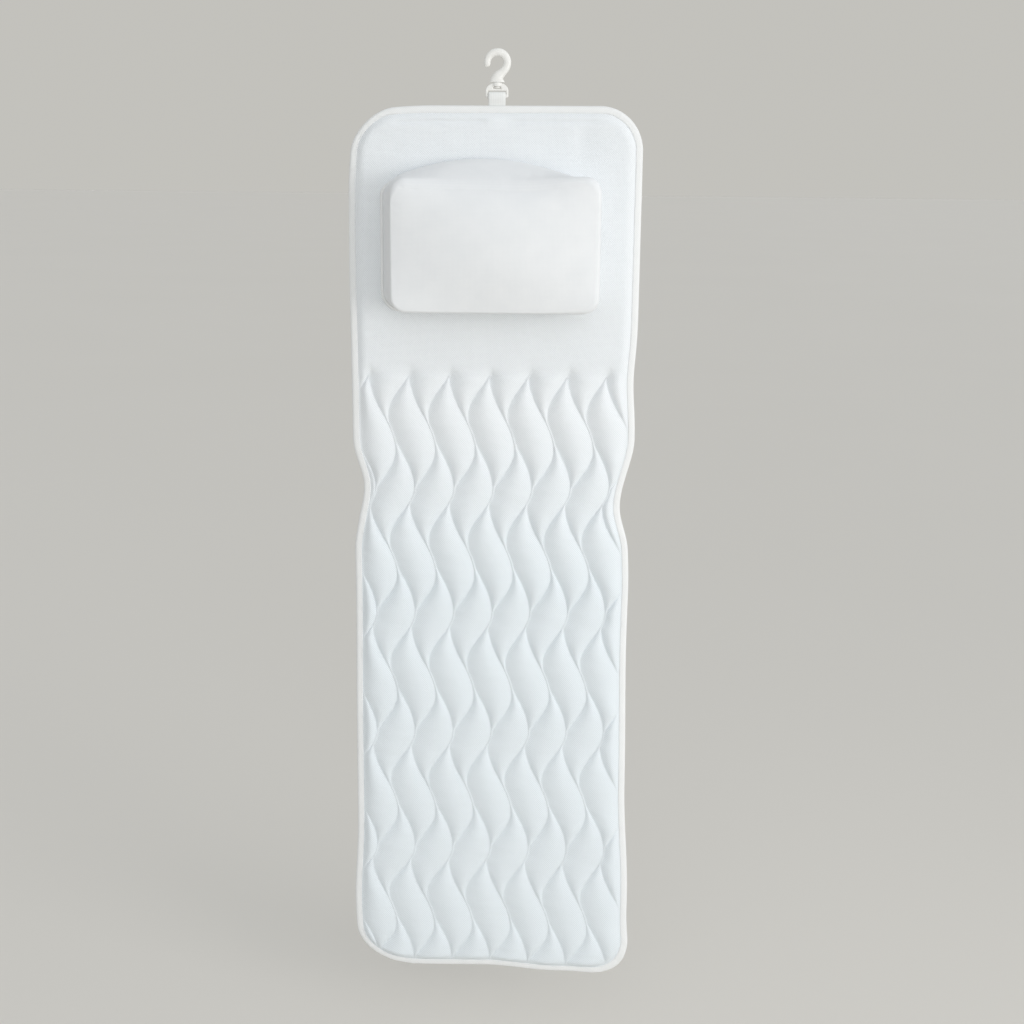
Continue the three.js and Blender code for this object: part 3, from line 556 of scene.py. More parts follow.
quilt_depth = row_depths(quilt_row)
lines = stitch_lines(quilt_depth)
half = half_span(quilt_depth, layer_inset)[:, None]
margin = np.linspace(0, 1, margin_columns)[None, :]
flat = np.zeros((len(quilt_depth), margin_columns))
across = (1 - np.cos(np.linspace(0, math.pi, strips + 1)[:-1])) / 2
columns = [-half + (half + lines[:, :1]) * margin[:, :-1]]
crowns = [flat[:, :-1]]
for k in range(lines.shape[1] - 1):
    width = (lines[:, k + 1] - lines[:, k])[:, None]
    slack = 1 - np.minimum(1, width / channel_full)
    columns.append(lines[:, k : k + 1] + width * across)
    crowns.append((1 - slack**2) * (1 - (2 * across - 1) ** 2) ** crown_power)
columns.append(lines[:, -1:] + (half - lines[:, -1:]) * margin)
crowns.append(flat)
quilt_x = np.concatenate(columns, 1)
quilt_depth = np.broadcast_to(quilt_depth[:, None], quilt_x.shape)
quilted = smooth_step(quilt_depth, quilt_top, quilt_top + quilt_fade)
puff = valley(quilt_depth) + (crown_thickness - valley(quilt_depth)) * np.concatenate(crowns, 1)
thickness = plain_thickness + (puff - plain_thickness) * quilted
risen = edge_rise(quilt_x, quilt_depth)
near_binding = ramp(edge_distance(quilt_x, quilt_depth), front_margin - lip_width, front_margin)
lip = margin_thickness + lip_rise * near_binding
thickness = lip + (thickness - lip) * risen
border = bump(quilt_depth, border_seam, border_width) * smooth_step(-np.abs(quilt_x), *border_end)
border *= smooth_step(np.abs(quilt_x), *border_start)
thickness -= border_depth * border
for deep, x, wide, depth, tall in dents:
    thickness -= deep * bump(quilt_x, x, wide) * bump(quilt_depth, depth, tall)
creases = np.array([crease(x, depth) for x, depth in zip(quilt_x.ravel(), quilt_depth.ravel())])
under_headrest = smooth_step(-np.abs(quilt_x), *rest_beside)
under_headrest *= smooth_step(-np.abs(quilt_depth - rest_depth), *rest_above)
thickness += creases.reshape(quilt_x.shape) * risen * (1 - under_headrest)
quilted_front = slab("quilted_front", quilt_x, quilt_depth, -thickness, np.zeros(quilt_x.shape))
# The front's fabric carries painted shade, darker and cooler towards the bottom.
front_mesh = mesh_fabric("front_mesh", front_thread, front_hole, front_pitch, front_lower_painted_shade)
quilted_front.data.materials.append(front_mesh)
fold_at_waist(quilted_front)
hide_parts("upper_quilted_front", "lower_quilted_front")


# Quilting thread: white polyester thread in a lock stitch. It runs along every wavy line through the fabric
# and the wadding, and pulls them down into the valley.
stitch_pitch = 0.0036
stitch_length = 0.0028
stitch_bends = (0.2, 0.8)
thread_radius = 0.00028
thread_sides = ((1, 0), (0, 1), (-1, 0), (0, -1))
thread_proud = 0.0001
sewn_start = 0.364
sewn_end = 0.016
sewn_step = 0.003
sewn_clear = 0.008
shortest_run = 3
front_way = np.array([0, -1.0, 0])
thread_dark = (0.74, 0.77, 0.79)
thread_light = (0.86, 0.88, 0.89)


def path_run(path):
    """Length along a path up to each of its places."""
    return np.concatenate([[0], np.cumsum(np.linalg.norm(np.diff(path, axis=0), axis=1))])


def stitches(name, paths, outwards):
    """Short pieces of thread laid end to end along paths, each with the direction that it faces."""
    places, faces = [], []
    for path, out in zip(paths, outwards):
        length = path_run(path)
        starts = np.arange(0.5 * stitch_pitch, length[-1] - stitch_pitch, stitch_pitch)
        ends = starts + stitch_length
        a = np.stack([np.interp(starts, length, path[:, k]) for k in range(3)], 1)
        b = np.stack([np.interp(ends, length, path[:, k]) for k in range(3)], 1)
        for p, q in zip(a, b):
            along = (q - p) / np.linalg.norm(q - p)
            side = np.cross(along, out)
            side /= np.linalg.norm(side)
            up = np.cross(side, along)
            base = len(places)
            places.append(p - up * thread_radius)
            for share in stitch_bends:
                middle = p + (q - p) * share
                for x, z in thread_sides:
                    places.append(middle + (side * x + up * z) * thread_radius)
            places.append(q - up * thread_radius)
            for k in range(4):
                n = (k + 1) % 4
                faces.append((base, base + 1 + n, base + 1 + k))
                faces.append((base + 1 + k, base + 1 + n, base + 5 + n, base + 5 + k))
                faces.append((base + 9, base + 5 + k, base + 5 + n))
    return piece(name, places, faces)


def own_places(tree):
    """Places on a piece in its own metres."""
    return node(tree, "TexCoord").outputs["Object"]


white_thread, tree, shader = new_finish("white_thread", roughness=0.6)
fibre = speckle(tree, own_places(tree), scale=900.0, detail=2.0)
dye(tree, shader, fibre, thread_dark, thread_light)
emboss(tree, shader, fibre, strength=0.3, distance=0.0001)

sewn_depth = np.arange(sewn_start, mat_length - sewn_end, sewn_step)
sewn_lines = stitch_lines(sewn_depth)
paths = []
for k in range(1, sewn_lines.shape[1] - 1):
    line = sewn_lines[:, k]
    clear = np.minimum(line - sewn_lines[:, 0], sewn_lines[:, -1] - line) > sewn_clear
    lift = margin_thickness + (valley(sewn_depth) - margin_thickness) * edge_rise(line, sewn_depth)
    path = hung(line, sewn_depth, -lift - thread_proud)
    breaks = np.where(np.diff(clear.astype(int)) != 0)[0] + 1
    runs = zip(np.split(path, breaks), np.split(clear, breaks))
    paths += [run for run, kept in runs if kept[0] and len(run) > shortest_run]
quilting_thread = stitches("quilting_thread", paths, [front_way] * len(paths))
quilting_thread.data.materials.append(white_thread)
fold_at_waist(quilting_thread)


# Edge binding: a soft white tape folded round the edge of all the layers and sewn through them. Its front leg
# is a little padded, and it puckers where it is eased round the corners.
binding_width = 0.010
binding_thickness = 0.0014
binding_front = -0.0039
binding_back = 0.0068
binding_step = 0.004
corner_steps = 24
outer_side = [(binding_width, -0.0039), (0.0098, -0.0043), (0.0084, -0.0045), (0.0066, -0.0043)]
outer_side += [(0.0046, -0.0042), (0.0027, -0.0038), (0.0013, -0.0029), (0.0004, -0.0014)]
outer_side += [(0.0, 0.0008), (0.0003, 0.0032), (0.0011, 0.0050), (0.0026, 0.0063)]
outer_side += [(0.0048, 0.0068), (0.0074, 0.0070), (0.0094, 0.0068), (binding_width, 0.0062)]
inner_front = binding_front + binding_thickness
inner_back = binding_back - binding_thickness
inner_side = [(binding_width, inner_back), (binding_thickness, inner_back)]
inner_side += [(binding_thickness, inner_front), (binding_width, inner_front)]
corner_pucker = 0.0007
side_pucker = 0.00035
pucker_along = 120
pucker_across = 60
fold_width = 0.0016
slit_back = 0.0036
slit_reach = 0.012
seam_inset = 0.0086
front_seam = binding_front - 0.0006
back_seam = binding_back + 0.0003
rib_rate = 0.314
tape_light = (0.885, 0.89, 0.885)
tape_dark = (0.775, 0.785, 0.785)
tape_rib = 0.0012


def heading(loop):
    """Direction of a closed loop at each of its places."""
    ahead = np.roll(loop, -1, axis=0) - np.roll(loop, 1, axis=0)
    return ahead / np.linalg.norm(ahead, axis=1)[:, None]


def edge_line(step):
    """The mat's edge as places and inward directions, once round from the middle of the top."""
    flat = mat_half - corner_radius
    straight = mat_length - 2 * corner_radius
    top = [(x, 0.0) for x in np.linspace(0, flat, round(flat / step), endpoint=False)]
    turn = np.linspace(0, math.pi / 2, corner_steps)
    upper = [(mat_half - corner_radius * (1 - math.sin(a)), corner_radius * (1 - math.cos(a))) for a in turn]
    down = np.linspace(corner_radius, mat_length - corner_radius, round(straight / step))
    side = [(mat_half - float(drawn_in(d)), d) for d in down[1:-1]]
    lower = [(x, mat_length - d) for x, d in reversed(upper)]
    bottom = [(x, mat_length) for x, d in reversed(top)]
    right = top + upper + side + lower + bottom
    left = [(-x, d) for x, d in reversed(right[1:-1])]
    line = np.array(right + left)
    ahead = heading(line)
    return line, np.stack([-ahead[:, 1], ahead[:, 0]], 1)


def tube_faces(index, closed=False):
    """Faces between rings of places, and from the last ring to the first one when the tube is closed."""
    if closed:
        index = np.concatenate([index, index[:1]])
    turned = np.roll(index, -1, axis=1)
    return np.stack([index[:-1], index[1:], turned[1:], turned[:-1]], -1).reshape(-1, 4)


def tube(name, rings, weaves):
    """A closed tube from its long lines of places, each with its places on the weave."""
    index = np.arange(len(rings) * len(rings[0])).reshape(len(rings[0]), len(rings))
    places = np.stack(rings, 1).reshape(-1, 3)
    weave = np.stack(weaves, 1).reshape(-1, 2)
    return face_out(piece(name, places, tube_faces(index, closed=True), weave))


def bands(tree, weave, pitch, direction, **bend):
    """Even ribs of a weave, one to a pitch."""
    inputs = {key.replace("_", " ").title(): value for key, value in bend.items()}
    inputs |= {"Vector": weave, "Scale": rib_rate / pitch}
    return node(tree, "TexWave", inputs, bands_direction=direction).outputs["Fac"]


edge, inward = edge_line(binding_step)
edge_run = path_run(edge)
past_side = np.abs(edge[:, 0]) > mat_half - corner_radius
past_end = np.minimum(edge[:, 1], mat_length - edge[:, 1]) < corner_radius
pucker_height = np.where(past_side & past_end, corner_pucker, side_pucker)
rings, weaves = [], []
for k, (inset, y) in enumerate(outer_side + inner_side):
    spot = edge + inward * inset
    pucker = np.array([noise.noise(Vector((s * pucker_along, inset * pucker_across, 2.0))) for s in edge_run])
    pucker *= pucker_height * (k < len(outer_side))
    rings.append(hung(*spot.T, y + pucker * (1 if y > 0 else -1)))
    weaves.append(np.stack([edge_run, np.full(len(edge_run), k * fold_width)], 1))
binding = tube("edge_binding", rings, weaves)
clear_tail(binding, 0.0, slit_back, slit_reach)

binding_tape, tree, shader = new_finish("binding_tape", roughness=0.8, sheen=0.2)
weave = weave_map(tree)
ribs = bands(tree, weave, tape_rib, "DIAGONAL", distortion=0.6, detail=2.0, detail_scale=3.0)
fuzz = speckle(tree, weave, scale=60.0, detail=4.0)
fuzzy_ribs = overlay(tree, ribs, fuzz, share=0.5)
dye(tree, shader, fuzzy_ribs, tape_dark, tape_light, low=0.1, high=1.0)
emboss(tree, shader, fuzzy_ribs, strength=0.35, distance=0.0003)
binding.data.materials.append(binding_tape)
fold_at_waist(binding)
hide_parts("upper_edge_binding", "lower_edge_binding")

sewn_edge = (edge + inward * seam_inset).T
seams = [hung(*sewn_edge, np.full(len(edge), y)) for y in (front_seam, back_seam)]
binding_thread = stitches("binding_thread", seams, [front_way, -front_way])
binding_thread.data.materials.append(white_thread)
fold_at_waist(binding_thread)


# Webbing loop: a strip of white webbing folded over the base's bar. Both ends lie together as a tail that is
# sewn between the mat's layers at the middle of the top edge.
loop_low, loop_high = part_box("webbing_loop")
webbing_width = loop_high.x - loop_low.x
webbing_thickness = 0.0015
webbing_pressed = 0.96
selvedge_power = 6
selvedge_least = 0.04
webbing_columns = 13
bar_middle = -0.0518
loop_radius = loop_high.z - bar_middle - webbing_thickness / 2
loop_wrap = math.radians(20)
loop_steps = 40
neck = bar_middle - loop_radius - 0.0034
tail_top = neck - 0.004
tail_end = loop_low.z
tail_steps = 12
neck_steps = 10
lay = webbing_thickness / 2
pick_pitch = 0.0017
end_pitch = 0.0024
webbing_dark = (0.82, 0.83, 0.82)
webbing_light = (0.89, 0.895, 0.885)


def bow(x, z, wide, high, start, end, steps):
    """Places on a bow about a middle, from one angle to another."""
    return [(x + wide * math.cos(a), z + high * math.sin(a)) for a in np.linspace(start, end, steps)]


def ease(start, end, count):
    """Places on a smooth S between two points, which leaves and arrives straight down."""
    share = np.linspace(0, 1, count)
    swing = share * share * (3 - 2 * share)
    y = start[0] + (end[0] - start[0]) * swing
    z = start[1] + (end[1] - start[1]) * share
    return list(zip(y, z))


arc = bow(0, bar_middle, loop_radius, loop_radius, -loop_wrap, math.pi + loop_wrap, loop_steps)
right_leg = [(lay, z) for z in np.linspace(tail_end, tail_top, tail_steps)]
right_leg += ease((lay, tail_top), arc[0], neck_steps)[1:-1]
left_leg = [(-y, z) for y, z in reversed(right_leg)]
strip = np.array(right_leg + arc + left_leg)
ahead = np.gradient(strip, axis=0)
ahead /= np.linalg.norm(ahead, axis=1)[:, None]
outward = np.stack([ahead[:, 1], -ahead[:, 0]], 1)
spread = np.linspace(-1, 1, webbing_columns)
thick = webbing_thickness / 2 * np.sqrt(np.maximum(1 - np.abs(spread) ** selvedge_power, selvedge_least))
loop = [(s, t) for s, t in zip(spread, thick)] + [(s, -t) for s, t in zip(spread[::-1], thick[::-1])]
places, weave = [], []
for (y, z), (out_y, out_z), s in zip(strip, outward, path_run(strip)):
    for side, t in loop:
        x = side * webbing_width / 2
        places.append((x, y + out_y * t * webbing_pressed, z + out_z * t * webbing_pressed))
        weave.append((x, s))
index = np.arange(len(places)).reshape(len(strip), len(loop))
faces = tube_faces(index).tolist() + [index[0][::-1], index[-1]]
webbing = face_out(piece("webbing", places, faces, weave))
webbing_weave, tree, shader = new_finish("webbing_weave", roughness=0.75)
weave = weave_map(tree)
picks = bands(tree, weave, pick_pitch, "Y")
ends = bands(tree, weave, end_pitch, "X")
crossing = reckon(tree, "MULTIPLY", picks, ends)
dye(tree, shader, crossing, webbing_dark, webbing_light, low=0.0, high=0.6)
emboss(tree, shader, crossing, strength=0.4, distance=0.0003)
webbing.data.materials.append(webbing_weave)
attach(webbing, "upper_mat")
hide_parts("webbing_loop")


# Headrest: a box cushion of fine knit, sewn on by its foot. Its walls lean in towards the face and swell a
# little, most of all the top wall, and its face is softly crowned. Inside are its back panel and its filling.
foot_low, foot_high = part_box("headrest_back_panel")
foot_middle = (foot_high.z + foot_low.z) / 2
foot_plane = foot_low.y - 0.0003
foot_left = foot_low.x - 0.0036
foot_right = 0.1375
foot_bottom = -0.0955
foot_top = 0.1020
foot_arch = 0.025
arch_middle = -0.017
arch_half = 0.133
foot_corner = 0.024
face_half = 0.1400
face_bottom = -0.095
face_top = 0.086
face_corner = 0.021
rest_height = 0.068
rest_crown = 0.016
crown_ends = 1.4
crown_sides = (2.4, 1.8)
top_swell = 0.009
swell_half = 0.130
swell_span = (0.045, 0.075)
top_drop = (0.13, 0.040, 0.088)
drop_span = (0.030, 0.150)
soft_span = (0.050, 0.084)
right_firmness = (0.75, 0.040, 0.125)
crisp_round = 0.0045
right_round = (0.0035, 0.05, 0.13)
top_round = 0.0150
crisp_limit = 0.0082
wall_lean = 0.10
top_wall_lean = 0.55
rest_columns = 56
rest_rows = 34
rest_around = 2 * (rest_columns + rest_rows)
turn_steps = 7
wall_rings = 12
edge_rings = 7
knit_pitch = 0.0016
knit_dark = (0.795, 0.81, 0.825)
knit_light = (0.85, 0.86, 0.87)
cover_skin = 0.0028
fibre_dark = (0.74, 0.74, 0.71)
fibre_light = (0.88, 0.88, 0.85)


def rest_outline(left, right, bottom, top, radius):
    """A rounded outline of the headrest, clockwise from its upper left corner."""
    eighth = np.linspace(0, math.pi / 4, turn_steps)
    corners = [(left, top, 1, -1), (right, top, -1, -1), (right, bottom, -1, 1), (left, bottom, 1, 1)]
    middles = [(x + radius * way_x, z + radius * way_z) for x, z, way_x, way_z in corners]
    sides = []
    for k, steps in enumerate((rest_columns, rest_rows, rest_columns, rest_rows)):
        turn = (0.75 - 0.5 * k) * math.pi - eighth
        leave = np.stack([np.cos(turn), np.sin(turn)], 1) * radius + middles[k]
        turn = turn - math.pi / 4
        arrive = np.stack([np.cos(turn), np.sin(turn)], 1) * radius + middles[(k + 1) % 4]
        drawn = np.concatenate([leave, arrive])
        run = path_run(drawn)
        even = np.linspace(0, run[-1], steps, endpoint=False)
        sides.append(np.stack([np.interp(even, run, drawn[:, 0]), np.interp(even, run, drawn[:, 1])], 1))
    return np.concatenate(sides)


def foot_outline(grow):
    """The outline of the headrest's foot, whose top side arches down to both ends."""
    sides = (foot_left - grow, foot_right + grow, foot_bottom - grow, foot_top + grow)
    x, z = rest_outline(*sides, foot_corner + grow).T
    end = np.abs(x - arch_middle) / arch_half
    return np.stack([x, z - foot_arch * end**2 * ramp(z, 0, foot_top)], 1)


def face_outline():
    """The outline of the headrest's face."""
    return rest_outline(-face_half, face_half, face_bottom, face_top, face_corner)


def top_softness(x, z):
    """How far the top edge is rounded off: fully on the left and in the middle, and hardly on the right."""
    return smooth_step(z, *soft_span) * (1 - grown(x, right_firmness))


def edge_round(x, z):
    """Radius of the edge between face and walls: crisp on the left and below, and soft along the top."""
    return crisp_round + grown(x, right_round) + top_round * top_softness(x, z)


def top_lean(x, z):
    """How much lower the headrest is towards the middle of its top edge, as a share of its height."""
    return grown(z, top_drop) * (1 - smooth_step(np.abs(x - arch_middle), *drop_span))


def ring_sides(ring):
    """The top, right, bottom and left side of a ring round the headrest, from its left or its top."""
    first, second, third = rest_columns, rest_columns + rest_rows, 2 * rest_columns + rest_rows
    ring = np.concatenate([ring, ring[:1]])
    return ring[: first + 1], ring[first : second + 1], ring[second : third + 1][::-1], ring[third:][::-1]


def fill_outline(ring):
    """Fills an outline with an even grid of places, row by row from the top."""
    top, right, bottom, left = ring_sides(ring)
    u = np.linspace(0, 1, rest_columns + 1)[None, :, None]
    v = np.linspace(0, 1, rest_rows + 1)[:, None, None]
    edges = (1 - v) * top[None] + v * bottom[None] + (1 - u) * left[:, None] + u * right[:, None]
    upper = (1 - v) * ((1 - u) * top[0] + u * top[-1])
    lower = v * ((1 - u) * bottom[0] + u * bottom[-1])
    return edges - upper - lower


def rest_form(name):
    """The headrest's closed form: swelling walls, a rounded edge and a crowned face."""
    foot, face = foot_outline(0), face_outline()
    ahead = heading(face)
    out = np.stack([-ahead[:, 1], ahead[:, 0]], 1)
    rounding = edge_round(*face.T)
    lean_in = wall_lean + top_wall_lean * top_softness(*face.T)
    rim = face - out * (rounding * (1 - np.cos(lean_in)))[:, None]
    rim_height = rest_height - rounding * (1 - np.sin(lean_in))
    rings, places, weave = [], [], []
    for share in np.linspace(0, 1, wall_rings, endpoint=False):
        ring = foot + (rim - foot) * share
        middle = 1 - ramp(np.abs(ring[:, 0] - arch_middle), 0, swell_half) ** 2
        swell = top_swell * math.sin(math.pi * math.sqrt(share)) * middle
        ring[:, 1] += swell * smooth_step(ring[:, 1], *swell_span)
        rings.append((ring, rim_height * share))
    for share in np.linspace(0, 1, edge_rings):
        angle = lean_in + (math.pi / 2 - lean_in) * share
        ring = face - out * (rounding * (1 - np.cos(angle)))[:, None]
        rings.append((ring, rest_height - rounding * (1 - np.sin(angle))))
    for ring, height in rings:
        weave += (face + out * (rest_height - height)[:, None]).tolist()
        lean = 1 - top_lean(ring[:, 0], ring[:, 1])
        places += [(x, foot_plane - h, foot_middle + z) for (x, z), h in zip(ring, height * lean)]
    index = np.arange(len(places)).reshape(-1, rest_around)
    field = fill_outline(rings[-1][0])
    spots = np.zeros(field.shape[:2], int)
    spots[0], spots[:, -1], spots[-1], spots[:, 0] = ring_sides(index[-1])
    inside = field[1:-1, 1:-1]
    spots[1:-1, 1:-1] = len(places) + np.arange(inside[..., 0].size).reshape(inside.shape[:2])
    u = np.linspace(-1, 1, rest_columns + 1)[None, 1:-1]
    v = np.linspace(-1, 1, rest_rows + 1)[1:-1, None]
    crown = rest_crown * (1 - u**2) ** crown_ends * (1 - np.abs(v) ** crown_sides[0]) ** crown_sides[1]
    rise = rest_height * (1 - top_lean(inside[..., 0], inside[..., 1])) + crown
    places += [(x, foot_plane - h, foot_middle + z) for (x, z), h in zip(inside.reshape(-1, 2), rise.ravel())]
    weave += inside.reshape(-1, 2).tolist()
    faces = tube_faces(index).tolist() + [index[0]] + grid_faces(spots).tolist()
    return face_out(piece(name, places, faces, weave))


def stuff(made, held, pressure, cap, frames):
    """Fills a sewn cover: its cloth swells while the held seams stay, and no point moves past a cap."""
    rest = np.array([v.co for v in made.data.vertices])
    seam = made.vertex_groups.new(name="seam")
    seam.add(held, 1.0, "REPLACE")
    cloth = made.modifiers.new("filled", "CLOTH")
    cloth.settings.quality = 6
    cloth.settings.mass = 0.3
    cloth.settings.tension_stiffness = 40
    cloth.settings.compression_stiffness = 25
    cloth.settings.bending_stiffness = 0.8
    cloth.settings.use_pressure = True
    cloth.settings.uniform_pressure_force = pressure
    cloth.settings.vertex_group_mass = "seam"
    cloth.settings.effector_weights.gravity = 0
    cloth.point_cache.frame_start = 1
    cloth.point_cache.frame_end = frames
    for step in range(1, frames + 1):
        bpy.context.scene.frame_set(step)
    swollen = made.evaluated_get(bpy.context.evaluated_depsgraph_get()).data
    moved = np.array([v.co for v in swollen.vertices]) - rest
    made.modifiers.remove(cloth)
    bpy.context.scene.frame_set(1)
    far = np.linalg.norm(moved, axis=1)[:, None]
    rest += moved * cap * np.tanh(far / cap) / np.maximum(far, 1e-9)
    made.data.vertices.foreach_set("co", rest.astype(np.float32).ravel())
    made.data.update()


headrest = rest_form("headrest")
crisp = np.where(edge_round(*face_outline().T) < crisp_limit)[0]
edge_seam = (crisp + (wall_rings + edge_rings // 2) * rest_around).tolist()
stuff(headrest, [*range(rest_around), *edge_seam], pressure=1.5, cap=0.0025, frames=16)
foot_crease = headrest.data.attributes.new("crease_edge", "FLOAT", "EDGE")
at_foot = [float(max(side.vertices) < rest_around) for side in headrest.data.edges]
foot_crease.data.foreach_set("value", at_foot)
headrest.modifiers.new("soft", "SUBSURF").render_levels = 1

headrest_knit, tree, shader = new_finish("headrest_knit", roughness=0.88, sheen=0.15)
weave = weave_map(tree)
courses = bands(tree, weave, knit_pitch, "X", distortion=0.4)
wales = bands(tree, weave, knit_pitch, "Y", distortion=0.4)
knit = reckon(tree, "MULTIPLY", courses, wales)
cloud = speckle(tree, weave, scale=30.0, detail=3.0)
dye(tree, shader, overlay(tree, cloud, knit, share=0.4), knit_dark, knit_light, low=0.3, high=1.0)
emboss(tree, shader, knit, strength=0.25, distance=0.0003)
headrest.data.materials.append(headrest_knit)
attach(headrest, "upper_mat")
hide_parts("headrest_cover")

filling = placed("headrest_fill", headrest.data.copy())
inner = np.array([v.co - v.normal * cover_skin for v in headrest.data.vertices], np.float32)
filling.data.vertices.foreach_set("co", inner.ravel())
filling.data.materials.clear()
hollow_fibre, tree, shader = new_finish("hollow_fibre", roughness=0.95)
tufts = speckle(tree, own_places(tree), scale=160.0, detail=6.0)
dye(tree, shader, tufts, fibre_dark, fibre_light)
emboss(tree, shader, tufts, strength=0.8, distance=0.002)
filling.data.materials.append(hollow_fibre)
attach(filling, "upper_mat")
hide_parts("headrest_filling")

places = [(x, y, foot_middle + z) for y in (foot_low.y, foot_high.y) for x, z in foot_outline(0)]
count = len(places) // 2
faces = [(k, (k + 1) % count, count + (k + 1) % count, count + k) for k in range(count)]
faces += [tuple(range(count))[::-1], tuple(range(count, 2 * count))]
panel = face_out(piece("headrest_panel", places, faces, [(x, z) for x, y, z in places]))
panel.data.materials.append(headrest_knit)
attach(panel, "upper_mat")
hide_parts("headrest_back_panel")


# Headrest piping: a thin cord covered in the binding's tape. It is sewn into the seam between the headrest
# and the mat, pressed a little under the cushion's wall and drawn down along the top.
piping_low, piping_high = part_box("headrest_piping")
piping_middle = (piping_low.y + piping_high.y) / 2
piping_radius = 0.0023
piping_tuck = 0.0009
piping_drop = (0.004, 0.060, 0.085)
piping_sides = 10
piping_step = 0.006

loop = np.array([(x, 0, foot_middle + z) for x, z in foot_outline(piping_radius - piping_tuck)])
loop[:, 2] -= grown(loop[:, 2] - foot_middle, piping_drop)
ahead = heading(loop)
sideways = np.stack([ahead[:, 2], np.zeros(len(loop)), -ahead[:, 0]], 1)
run = np.arange(len(loop)) * piping_step
rings, weaves = [], []
for k in range(piping_sides):
    a = 2 * math.pi * k / piping_sides
    ring = loop + sideways * piping_radius * math.cos(a)
    ring[:, 1] = piping_middle + piping_radius * math.sin(a)
    rings.append(ring)
    weaves.append(np.stack([run, np.full(len(run), a * piping_radius)], 1))
piping = tube("headrest_cord", rings, weaves)
piping.data.materials.append(binding_tape)
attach(piping, "upper_mat")
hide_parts("headrest_piping")


# Suction cups: clear soft vinyl, moulded in one with a neck and a mushroom head. The head is pushed through
# an eyelet and sits behind the back cover; the thin dish outside grips the tub.
cup_sides = 40
cup_head = [(0.0, 0.0073), (0.0060, 0.0073), (0.0069, 0.0079), (0.0070, 0.0090), (0.0066, 0.0100)]
cup_head += [(0.0058, 0.0103), (0.0037, 0.0103), (0.0035, 0.0106), (0.0035, 0.0121)]
cup_foot = 0.0124
cup_dish = [(0.0038, 0), (0.0084, 0), (0.0092, 0.0004), (0.0120, 0.0023), (0.0160, 0.0052)]
cup_dish += [(0.0195, 0.0086), (0.0221, 0.0116), (0.0230, 0.0126), (0.0230, 0.0129), (0.0227, 0.0130)]
cup_dish += [(0.0205, 0.0124), (0.0180, 0.0104), (0.0140, 0.0076), (0.0090, 0.0054)]
cup_dish += [(0.0045, 0.0040), (0.0, 0.0036)]
cup_profile = cup_head + [(radius, cup_foot + y) for radius, y in cup_dish]
vinyl_dark = (0.92, 0.945, 0.95)
vinyl_light = (0.97, 0.98, 0.98)


def gloss(tree, shader, factor, low, high):
    """Lets the roughness of a finish go from low to high as a factor grows."""
    tree.links.new(span(tree, factor, to_min=low, to_max=high), shader.inputs["Roughness"])


clear_vinyl, tree, shader = new_finish("clear_vinyl", roughness=0.18)
haze = speckle(tree, own_places(tree), scale=140.0, detail=3.0)
dye(tree, shader, haze, vinyl_dark, vinyl_light)
gloss(tree, shader, haze, low=0.10, high=0.28)
shader.inputs["Transmission Weight"].default_value = 0.75
shader.inputs["IOR"].default_value = 1.52
cup_mesh = None
for name, (place_x, place_z) in cup_places.items():
    cup_name = name.replace("suction_cup", "cup")
    if cup_mesh is None:
        cup = lathe(cup_name, cup_profile, cup_sides)
        cup.data.materials.append(clear_vinyl)
        cup_mesh = cup.data
    else:
        cup = placed(cup_name, cup_mesh)
    cup.location = (place_x, seam_plane, place_z)
    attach(cup, "upper_mat" if "upper" in name else "lower_mat")
    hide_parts(name)


# Swivel base: a domed frame moulded in white plastic, with a window for the webbing, a slot above it where
# the knob turns, and a boss that the hook's pin runs through.
base_low, base_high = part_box("swivel_base")
base_half = base_high.x
base_depth = 0.0060
base_bevel = 0.0013
base_top = base_high.z
base_bottom = base_low.z
base_foot = 0.0030
dome_steps = 41
foot_steps = 9
recess_top = base_top - 0.0050
recess_bottom = recess_top - 0.0032
recess_half = 0.0052
recess_round = [(0, -0.0016), (-0.0006, -0.0006), (-0.0020, 0)]
window_top = recess_top - 0.0060
window_bottom = window_top - 0.0040
window_half = 0.0121
boss_radius = 0.0064
boss_bevel = 0.0006
bore_radius = 0.0035
bore_past = 0.003
round_sides = 40
crease_angle = math.radians(40)
weld_reach = 1e-6
quarter_turn = Matrix.Rotation(math.pi / 2, 4, "X")
plastic_dark = (0.84, 0.83, 0.80)
plastic_light = (0.89, 0.88, 0.855)


def upright(name, profile):
    """A lathe's body, turned from the Y axis to the Z axis."""
    made = lathe(name, profile, round_sides)
    made.data.transform(quarter_turn)
    return made


outline = bow(0, window_top, base_half, base_top - window_top, 0, math.pi, dome_steps)
foot_z = base_bottom + base_foot
outline += bow(-base_half + base_foot, foot_z, base_foot, base_foot, math.pi, 1.5 * math.pi, foot_steps)
outline += bow(base_half - base_foot, foot_z, base_foot, base_foot, 1.5 * math.pi, 2 * math.pi, foot_steps)
window = [(window_half, window_bottom), (window_half, window_top)]
recess = [(recess_half, recess_bottom)] + [(recess_half + x, recess_top + z) for x, z in recess_round]
drawing = bpy.data.curves.new("base_drawing", "CURVE")
drawing.dimensions = "2D"
drawing.fill_mode = "BOTH"
drawing.extrude = base_depth / 2 - base_bevel
drawing.bevel_depth = base_bevel
drawing.bevel_resolution = 3
drawing.offset = -base_bevel
for path in (outline, window, recess):
    if path is not outline:
        path += [(-x, z) for x, z in reversed(path)]
    spline = drawing.splines.new("POLY")
    spline.points.add(len(path) - 1)
    for point, (x, z) in zip(spline.points, path):
        point.co = (x, z, 0, 1)
    spline.use_cyclic_u = True
sketch = placed("base_sketch", drawing)
base_mesh = finished_mesh(sketch)
bpy.data.objects.remove(sketch)
base_mesh.transform(quarter_turn)
base = face_out(placed("base_frame", base_mesh), weld_reach)
boss = [(0, recess_top), (boss_radius, recess_top), (boss_radius, base_top - boss_bevel)]
